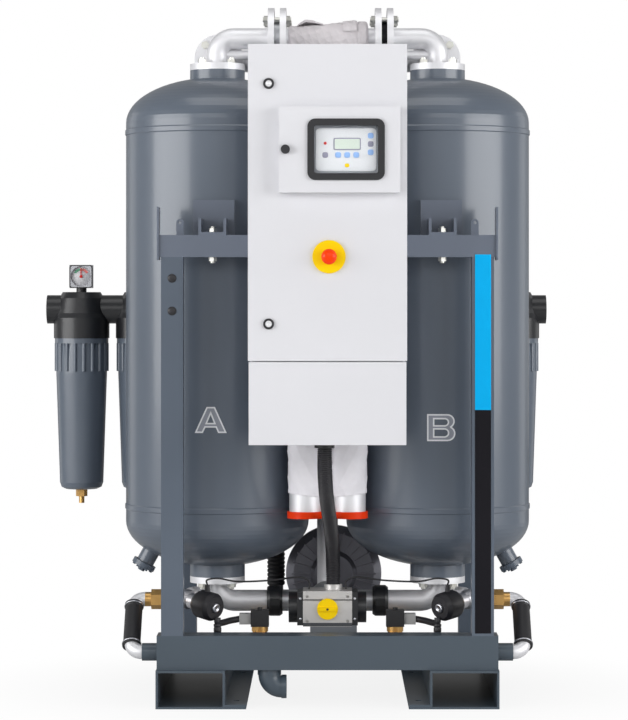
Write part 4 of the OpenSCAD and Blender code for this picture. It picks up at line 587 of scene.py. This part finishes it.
def jacket(name, side):
    """A padded sleeve: it falls in at both hems, folds run round and down it, and the lower hem slants.

    The lining follows the column, and the two meet at the hems, so the sleeve is one closed skin."""
    columns, rows_out, rows_in = 160, 240, 16
    turn = np.linspace(0, 2 * np.pi, columns, endpoint=False)[None, :]
    up = np.linspace(0, 1, rows_out)[:, None]
    low = jackets_low.z - hem_drop + hem_slant * (1 + side * np.cos(turn)) / 2
    height = low + up * (jackets_high.z - low)
    hem = np.clip(np.minimum(up, 1 - up) / 0.012, 0, 1)
    round_hem = np.sqrt(1 - (1 - hem) ** 2)
    quilt = 0.0022 * np.abs(np.sin(up * np.pi * 4)) ** 0.5
    crease = folds(turn * side, up * 40, jacket_creases)
    hem_r = column_r + 0.0035
    reach = hem_r + (jacket_r - slimmer_by - hem_r + quilt + crease) * round_hem
    reach = np.minimum(reach, jacket_r - 0.0002)
    outside = xyz(reach * np.cos(turn), reach * np.sin(turn), height)
    height_in = low + np.linspace(1, 0, rows_in)[:, None] * (jackets_high.z - low)
    lining_r = column_r + 0.0006
    inside = xyz(lining_r * np.cos(turn), lining_r * np.sin(turn), height_in)
    points = np.vstack([outside, inside]) + (side * heater_axis_x, heater_axis_y, 0)
    faces = grid_faces(rows_out + rows_in, columns, True, True)
    made = closed_piece(name, points, faces, jacket_cloth, "skid")
    return made


jacket_left = jacket("heater_jacket_left", -1)
jacket("heater_jacket_right", 1)
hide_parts("heater_jackets")

# Blower. A die-cast side-channel blower with a finned motor stands behind the frame and feeds
# the heaters through a ribbed rubber hose.
rubber_bloom = surface_group("rubber_bloom", 700, 12, 3)
rubber = surface("black_rubber", rubber_bloom, (29, 29, 32), 0.55, 0.12, 0.2)
black_paint = surface("black_paint", powder_coat, (30, 31, 34), 0.36, 0.06, 0.10, coat=0.1)
motor_grey = surface("motor_grey", cast_group, (122, 127, 133), 0.45, 0.07, 0.25)
blower_paint = surface("blower_paint", cast_group, (122, 122, 130), 0.36, 0.10, 0.3, metallic=0.55)
dress(blower_paint, "blower_housing")
dress(cast, "blower_impeller")
dress(motor_grey, "blower_motor")
dress(rubber, "blower_hose")

# Lower piping. Stainless bends run from the tower feet to the changeover valve through black
# painted couplings, and small brass valves let the exhaust out to the hoses.
brass_gold = (214, 170, 104)
brass = surface("brass", brushed, brass_gold, 0.36, 0.12, 0.10, metallic=0.95)
brass_and_steel = two_tone("brass_and_steel", brushed, (brass_gold, (206, 206, 210)), "X", 0.355, 0.055,
                           0.36, 0.10, 0.10, metallic=0.95)
coil_and_plug = two_tone("coil_and_plug", moulded, (near_black, (172, 172, 172)), "X", 0.2295, 0.016,
                         0.46, 0.06, 0.2)
dress(pipe_steel, "lower_spools", "inlet_pipe", "exhaust_elbows")
dress(steel, "valve_stem")
dress(black_paint, "pipe_couplings")
dress(cast, "valve_body")
dress(brass_and_steel, "brass_valve_bodies")
dress(coil_and_plug, "solenoid_coils")
dress(black_moulding, "angle_valve_actuators")

# Exhaust valve fronts. Each black piston housing points to the front and a little down, and has a
# bright cap nut on its axis, a silencer below and a pilot elbow that leads to the solenoid valve.


def smooth_route(points, per_span=12):
    """A Catmull-Rom curve through all the points."""
    padded = np.vstack([2 * points[0] - points[1], points, 2 * points[-1] - points[-2]])
    t = np.linspace(0, 1, per_span, endpoint=False)[:, None]
    spans = []
    for a, b, c, d in zip(padded[:-3], padded[1:-2], padded[2:-1], padded[3:]):
        curve = (2 * a - 5 * b + 4 * c - d) * t ** 2 + (3 * b - a - 3 * c + d) * t ** 3
        spans.append(0.5 * (2 * b + (c - a) * t + curve))
    return np.vstack(spans + [points[-1:]])


def along_path(path, radii, start_side, steps=40):
    """A closed tube: a circle at each point, square to the path, its side carried along without twist."""
    path = np.asarray(path, float)
    heading = unit(np.gradient(path, axis=0))
    side = np.zeros_like(path)
    carried = np.asarray(start_side, float)
    for i, ahead in enumerate(heading):
        carried = unit(carried - ahead * np.dot(carried, ahead))
        side[i] = carried
    other = np.cross(heading, side)
    turn = np.linspace(0, 2 * np.pi, steps, endpoint=False)
    ring = np.cos(turn)[None, :, None] * side[:, None, :] + np.sin(turn)[None, :, None] * other[:, None, :]
    points = (path[:, None, :] + np.asarray(radii)[:, None, None] * ring).reshape(-1, 3)
    faces = grid_faces(len(path), steps, wrap_columns=True).tolist()
    faces.append(tuple(range(steps))[::-1])
    faces.append(tuple(range(len(path) * steps - steps, len(path) * steps)))
    return points, faces


valve_tilt = np.radians(8)
valve_at = np.array([-0.390, -0.190, 0.279])
valve_axis = np.array([np.sqrt(0.5), -np.sqrt(0.5), 0]) * np.cos(valve_tilt) - (0, 0, np.sin(valve_tilt))
cap_nut = [(0, 0.1158), (0.0128, 0.1158), (0.0128, 0.1208), (0.0112, 0.1226), (0.0060, 0.1226),
           (0.0052, 0.1214), (0, 0.1214)]
silencer = [(0, 0), (0.0075, 0), (0.0075, 0.006), (0.0108, 0.008), (0.0108, 0.014), (0.0090, 0.016),
            (0.0108, 0.018), (0.0108, 0.028), (0.0080, 0.032), (0, 0.032)]
silencer_at = np.array([-0.303, -0.268, 0.226])
pilot_points = np.array([(-303, -268, 236), (-303, -268, 224), (-292, -252, 220), (-270, -215, 222),
                         (-245, -190, 224)]) / 1000
pilot_r = 0.009
for side, where in ((1, "left"), (-1, "right")):
    flip = np.array([side, 1, 1])
    pilot_route = smooth_route(pilot_points * flip)
    points, faces = along_path(pilot_route, np.full(len(pilot_route), pilot_r), (1, 0, 0), steps=24)
    closed_piece("pilot_elbow_" + where, points, faces, black_moulding, "skid")
    nut = turned_piece("valve_cap_nut_" + where, cap_nut, valve_at * flip, valve_axis * flip, steel, "skid")
    muffler = turned_piece("valve_silencer_" + where, silencer, silencer_at * flip, (0, 0, -1),
                           black_moulding, "skid", 32)

# Valve actuator. An extruded, anodised pneumatic drive sits in front of the changeover valve,
# with black end caps and a yellow dial that shows which tower is on line.
yellow_moulding = dull(surface("yellow_moulding", moulded, (246, 208, 4), 0.38, 0.04, 0.12, coat=0.05))
anodised = surface("anodised_aluminium", brushed, (206, 204, 202), 0.40, 0.05, 0.05, metallic=0.7)
dress(anodised, "actuator_body")
dress(black_paint, "actuator_end_caps")
dress(yellow_moulding, "position_indicator")
# The black strip along the seam and the dark grey band low on the face are painted shade. They stand for the
# shadow in the seam groove and the shadow on the chamfer under the face.
painted_shade_grey = surface("painted_shade_grey", brushed, (80, 82, 86), 0.42, 0.06, 0.05, metallic=0.5)
actuator_half = 0.068
actuator_front = -0.230
actuator_sink = 0.0001
band_t = 0.0003
for name, material, low_z, high_z in (("actuator_seam_painted_shade", black_moulding, 0.2797, 0.2815),
                                      ("actuator_band_painted_shade", painted_shade_grey, 0.2080, 0.2175)):
    points, faces = slab((-actuator_half, actuator_front - band_t, low_z),
                         (actuator_half, actuator_front + actuator_sink, high_z))
    piece(name, points, faces, material, "skid", smooth=False)
bolt_head = [(0, -0.0001), (0.0034, -0.0001), (0.0034, 0.0012), (0.0026, 0.0018), (0, 0.0018)]
bolt_x, bolt_low_z, bolt_high_z = 0.0755, 0.228, 0.284
caps_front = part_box("actuator_end_caps")[0].y
for number in range(4):
    bolt_at = (bolt_x * (-1, 1)[number % 2], caps_front, (bolt_high_z, bolt_low_z)[number // 2])
    bolt = turned_piece(f"end_cap_bolt_{number + 1}", bolt_head, bolt_at, (0, -1, 0), steel, "skid", 24)
dial_low, dial_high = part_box("position_indicator")
hub_at = ((dial_low.x + dial_high.x) / 2, dial_low.y, (dial_low.z + dial_high.z) / 2)
hub = [(0, -0.0001), (0.0034, -0.0001), (0.0034, 0.0004), (0, 0.0005)]
turned_piece("dial_hub", hub, hub_at, (0, -1, 0), black_moulding, "valve_rotor", 24)

# Exhaust hoses. Two black rubber hoses with fabric-marked skin carry the exhaust down into the
# beam, each held at both ends by a worm-drive clamp of bright band steel.
hose_r = 0.0240
lip_r = 0.0258
hose_overlap = 0.010
lip_l = 0.014
hose_rows = 80
clamp_band = 0.004
hose_turn_r = 0.030
hose_from_yz = np.array([-0.190, 0.279])
hose_to_yz = np.array([-0.323, 0.1485])
hose_run = np.linalg.norm(hose_to_yz - hose_from_yz)
hose_ahead = np.array([0, *(hose_to_yz - hose_from_yz) / hose_run])
hose_steps = np.linspace(hose_turn_r - hose_overlap, hose_run - hose_turn_r + hose_overlap, hose_rows)
from_end = np.minimum(hose_steps - hose_steps[0], hose_steps[-1] - hose_steps)
hose_radii = hose_r + (lip_r - hose_r) * np.clip((lip_l - from_end) / 0.002, 0, 1)
half_band = clamp_band / 2
ring = [(lip_r - 0.0004, -half_band), (lip_r + 0.0008, -half_band), (lip_r + 0.0012, 0),
        (lip_r + 0.0008, half_band), (lip_r - 0.0004, half_band)]
clamp_inset = 0.007
hose_x = 0.537
for side, where in ((-1, "left"), (1, "right")):
    bend_at = np.array([side * hose_x, *hose_from_yz])
    route = bend_at + hose_steps[:, None] * hose_ahead
    points, faces = along_path(route, hose_radii, (1, 0, 0))
    hose = closed_piece("exhaust_hose_" + where, points, faces, rubber, "skid")
    if side < 0:
        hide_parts("exhaust_hoses")
    for end, along in (("top", hose_steps[0] + clamp_inset), ("foot", hose_steps[-1] - clamp_inset)):
        points, faces = turned(ring + ring[:1], bend_at + along * hose_ahead, hose_ahead)
        closed_piece(f"hose_clamp_{where}_{end}", points, faces, steel, "skid")

# Filters. Three die-cast filters with deep bowls, brass float drains below, and on the first a
# square differential pressure gauge with a two-colour dial.
filter_media = surface("filter_media", cloth_group, (226, 222, 210), 0.9, 0.08, 0.5)
red_moulding = surface("red_moulding", moulded, (206, 30, 24), 0.40, 0.05, 0.12)
dress(black_paint, "filter_heads")
dress(slate, "filter_bowls")
dress(filter_media, "filter_elements")
dress(brass, "filter_drains")
dress(red_moulding, "gauge_needle")
gauge_low, gauge_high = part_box("dp_gauge")
gauge_w = gauge_high.x - gauge_low.x
gauge_mid_x = (gauge_low.x + gauge_high.x) / 2
gauge_mid_z = gauge_high.z - gauge_w / 2
neck_mid_z = (gauge_low.z + gauge_high.z - gauge_w) / 2
neck_half = (gauge_high.z - gauge_w - gauge_low.z) / 2 + 0.0001
gauge_case = two_tone("gauge_case", moulded, ((196, 197, 202), near_black), "Z", neck_mid_z, neck_half,
                      0.40, 0.04, 0.15)
dress(gauge_case, "dp_gauge")
dial_y = gauge_low.y + 0.008
dial_r = gauge_w / 2 - 0.0046
dial_white = surface("dial_white", moulded, (214, 213, 216), 0.5, 0.02, 0.05)
dial_green = surface("dial_green", moulded, (96, 160, 128), 0.5, 0.03, 0.05)
dial_red = surface("dial_red", moulded, (216, 116, 112), 0.5, 0.03, 0.05)


def superellipse(half_width, half_height, power, count):
    """Points round a rectangle with soft corners: cosine and sine, each raised to two over the power."""
    turn = np.linspace(0, 2 * np.pi, count, endpoint=False)
    edge = np.stack([np.cos(turn), np.sin(turn)], axis=1)
    return np.sign(edge) * np.abs(edge) ** (2 / power) * (half_width, half_height)


def dial_sector(name, inner_r, outer_r, start, end, lift, material, count=40):
    """A thin closed sector of a dial: radius by angle, angles from straight up, towards the right as seen."""
    turn = np.radians(np.linspace(start, end, count))
    corners = [(inner_r, 0.0), (outer_r, 0.0), (outer_r, lift), (inner_r, lift)]
    rows = [xyz(gauge_mid_x + r * np.sin(turn), dial_y - y, gauge_mid_z + r * np.cos(turn))
            for r, y in corners]
    last = 4 * count
    faces = grid_faces(count, 4, wrap_columns=True).tolist() + [(0, 1, 2, 3), tuple(range(last - 4, last))]
    made = closed_piece(name, np.stack(rows, axis=1), faces, material, "skid", smooth=False)


dial_face = [(0, -0.0001), (dial_r, -0.0001), (dial_r, 0.0006), (0, 0.0006)]
dial_at = (gauge_mid_x, dial_y, gauge_mid_z)
dial = turned_piece("gauge_dial", dial_face, dial_at, (0, -1, 0), dial_white, "skid")
rim_count = 96
rim_x, rim_z = superellipse(gauge_w / 2, gauge_w / 2, 12.5, rim_count).T
rim_rows = [xyz(gauge_mid_x + share * rim_x, gauge_low.y + lift, gauge_mid_z + share * rim_z)
            for share, lift in ((1.0, 0.0002), (1.0, -0.0010), (0.92, -0.0010), (0.92, 0.0002))]
gauge_rim = closed_piece("gauge_rim", np.stack(rim_rows, axis=1), grid_faces(rim_count, 4, True, True),
                         black_moulding, "skid", smooth=False)
mark_inner_r, mark_outer_r, mark_lift = 0.017, 0.0245, 0.0009
dial_sector("gauge_green", mark_inner_r, mark_outer_r, -60, 8, mark_lift, dial_green)
dial_sector("gauge_red", mark_inner_r, mark_outer_r, 10, 60, mark_lift, dial_red)

# Control cabinet. A folded sheet steel box with a light grey textured coat hangs on the front
# posts, with a plain cable cover below it, a zinc mounting plate and the gear inside.
cabinet_grey = (217, 217, 221)
cabinet_coat = surface("cabinet_coat", powder_coat, cabinet_grey, 0.42, 0.02, 0.22)
cover_coat = two_tone("cable_cover_coat", powder_coat, (cabinet_grey, (26, 26, 29)), "Z", 0.7192,
                      0.0066, 0.42, 0.02, 0.22)
dress(cabinet_coat, "cabinet_shell", "cabinet_door")
dress(cover_coat, "cable_cover")
grey_moulding = surface("grey_moulding", moulded, (206, 208, 212), 0.40, 0.04, 0.15)
dress(zinc, "mounting_plate")
dress(grey_moulding, "control_gear")

# Window door. A shallow hinged frame with a clear acrylic pane in a black rubber gasket keeps
# dust off the controller and opens on its own lock.
acrylic = bpy.data.materials.new("clear_acrylic")
acrylic.use_nodes = True
acrylic_tree = acrylic.node_tree
acrylic_shader = acrylic_tree.nodes["Principled BSDF"]
acrylic_shader.inputs["Transmission Weight"].default_value = 1.0
acrylic_shader.inputs["IOR"].default_value = 1.12
acrylic_look = {"Colour": linear(247, 249, 250), "Roughness": 0.03, "Variation": 0.01}
acrylic_skin = add_node(acrylic_tree, "Group", acrylic_look, node_tree=moulded)
wire(acrylic_tree, (acrylic_skin, "Colour", acrylic_shader, "Base Color"),
     (acrylic_skin, "Roughness", acrylic_shader, "Roughness"))
dress(cabinet_coat, "window_door")
dress(rubber, "window_gasket")
dress(acrylic, "window_pane")

# Controller. A moulded front with a pale membrane overlay, a reflective display under its bezel
# and soft keys that stand slightly proud.
dress(surface("controller_case", moulded, (150, 151, 157), 0.44, 0.05, 0.2), "controller")
controller_low, controller_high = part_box("controller")
key_rise = 0.002
controller_y = controller_low.y + key_rise
overlay = surface("controller_overlay", moulded, (228, 227, 229), 0.46, 0.02, 0.08)
display = surface("controller_display", moulded, (216, 225, 212), 0.24, 0.03, 0.02, coat=0.2)
blue_key = surface("blue_key", moulded, (146, 182, 234), 0.42, 0.04, 0.15)
violet_key = surface("violet_key", moulded, (150, 147, 166), 0.42, 0.05, 0.15)


def cushion_key(name, middle_x, middle_z, width, height, lift, material, power=4.0, base=0.0, count=64):
    """A rounded pad on the controller's face: rings of a superellipse shrink while they rise to the crown."""
    edge_x, edge_z = superellipse(width / 2, height / 2, power, count).T
    rings = [(0.0, -0.0001), (1.0, -0.0001), (1.0, lift * 0.45), (0.985, lift * 0.75), (0.95, lift * 0.93),
             (0.88, lift), (0.0, lift)]
    levels = [xyz(middle_x + share * edge_x, controller_y - base - rise, middle_z + share * edge_z)
              for share, rise in rings]
    faces = grid_faces(count, len(rings), wrap_rows=True)
    made = closed_piece(name, np.stack(levels, axis=1), faces, material, "door")
    return made


controller_x = (controller_low.x + controller_high.x) / 2
controller_z = (controller_low.z + controller_high.z) / 2
overlay_lift = 0.0006
display_x, display_z = 0.052, 1.5225
menu_z, side_x, reset_x = 1.4935, 0.114, -0.006
key_shape = dict(power=3.2, base=overlay_lift)
cushion_key("controller_overlay", controller_x, controller_z, 0.160, 0.114, 0.0007, overlay, power=14)
cushion_key("display_bezel", display_x, display_z, 0.0725, 0.0325, 0.0018, violet_key, power=12,
            base=overlay_lift)
cushion_key("display_glass", display_x, display_z, 0.0665, 0.0265, 0.0005, display, power=20, base=0.0023)
for number, key_x in enumerate((0.028, 0.052, 0.076)):
    cushion_key(f"menu_key_{number + 1}", key_x, menu_z, 0.0158, 0.0150, 0.0020, blue_key, **key_shape)
for name, key_z, key_material in (("run", 1.5445, blue_key), ("next", 1.5225, violet_key),
                                  ("stop", 1.5005, blue_key)):
    cushion_key(f"{name}_key", side_x, key_z, 0.0152, 0.0150, 0.0020, key_material, **key_shape)
cushion_key("reset_key", reset_x, menu_z, 0.0152, 0.0150, 0.0020, violet_key, **key_shape)
cushion_key("alarm_lamp", reset_x, 1.5245, 0.008, 0.008, 0.0018, red_moulding, power=2, base=overlay_lift)
cushion_key("warning_mark", 0.0515, 1.4660, 0.012, 0.010, 0.0004, yellow_moulding, power=3, base=overlay_lift)

# Locks. Three quarter-turn cam locks have a black moulded housing, and the two on the door have a
# nickel insert with a round key recess.
dress(black_moulding, "upper_door_lock", "lower_door_lock", "window_lock")
nickel = surface("nickel_insert", brushed, (232, 232, 234), 0.34, 0.05, 0.04, metallic=0.35)
insert_profile = [(0, -0.0001), (0.61, -0.0001), (0.61, 0.0009), (0.56, 0.0014), (0.24, 0.0014),
                  (0.21, 0.0004), (0.12, 0.0004), (0.10, 0.0017), (0, 0.0018)]
for lock, body in (("upper_door_lock", "upper_lock"), ("lower_door_lock", "lower_lock")):
    lock_low, lock_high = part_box(lock)
    ring_r = (lock_high.x - lock_low.x) / 2
    lock_at = ((lock_low.x + lock_high.x) / 2, lock_low.y + 0.002, lock_high.z - ring_r)
    insert = np.array(insert_profile) * (ring_r, 1)
    turned_piece(body + "_insert", insert, lock_at, (0, -1, 0), nickel, body)

# Emergency stop. A red mushroom push button with a soft gloss stands on a yellow round plate, both
# moulded in colour.
dress(yellow_moulding, "estop_collar")
stop_red = dull(surface("stop_red", moulded, (244, 62, 0), 0.34, 0.04, 0.08, coat=0.2))
dress(stop_red, "estop_button")

# Conduit and cables. A corrugated nylon conduit comes down from the cable cover to the valve
# actuator, and a thin cable runs from there to each exhaust valve.


def cubic(a, b, c, d, count):
    """Points along a cubic curve from a to d, leaving towards b and arriving from c."""
    t = np.linspace(0, 1, count)[:, None]
    a, b, c, d = (np.asarray(p, float) for p in (a, b, c, d))
    return (1 - t) ** 3 * a + 3 * (1 - t) ** 2 * t * b + 3 * (1 - t) * t ** 2 * c + t ** 3 * d


conduit_from = np.array([-0.008, -0.470, 0.714])
conduit_to = np.array([0.016, -0.165, 0.319])
conduit_r = 0.020
rib_pitch = 0.0052
conduit_lead = np.array([0, 0, 0.008])
conduit_curve = cubic(conduit_from - conduit_lead, conduit_from - (0, 0, 0.200), conduit_to + (0, 0, 0.215),
                      conduit_to + conduit_lead, 1100)
lead_steps = np.linspace(0, 1, 20, endpoint=False)[:, None]
conduit_route = np.vstack([conduit_from - conduit_lead * lead_steps, conduit_curve,
                           conduit_to + conduit_lead * lead_steps[::-1]])
conduit_run = np.concatenate([[0], np.cumsum(np.linalg.norm(np.diff(conduit_route, axis=0), axis=1))])
rib = 0.5 + 0.5 * np.cos(2 * np.pi * conduit_run / rib_pitch)
rib = np.clip(rib * 1.6 - 0.3, 0, 1)
points, faces = along_path(conduit_route, conduit_r - 0.0026 * (1 - rib), (1, 0, 0), steps=32)
conduit = closed_piece("cable_conduit", points, faces, black_moulding, "skid")
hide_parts("control_cables")
cable_points = np.array([(52, -170, 305), (52, -170, 327), (82, -178, 339), (160, -188, 331),
                         (250, -200, 329), (300, -225, 340), (332, -248, 338), (332, -248, 324)]) / 1000
cable_r = 0.0025
for side, where in ((-1, "left"), (1, "right")):
    cable_route = smooth_route(cable_points * (side, 1, 1))
    points, faces = along_path(cable_route, np.full(len(cable_route), cable_r), (0.2, 1, 0.1), steps=12)
    cable = closed_piece("valve_cable_" + where, points, faces, rubber, "skid")
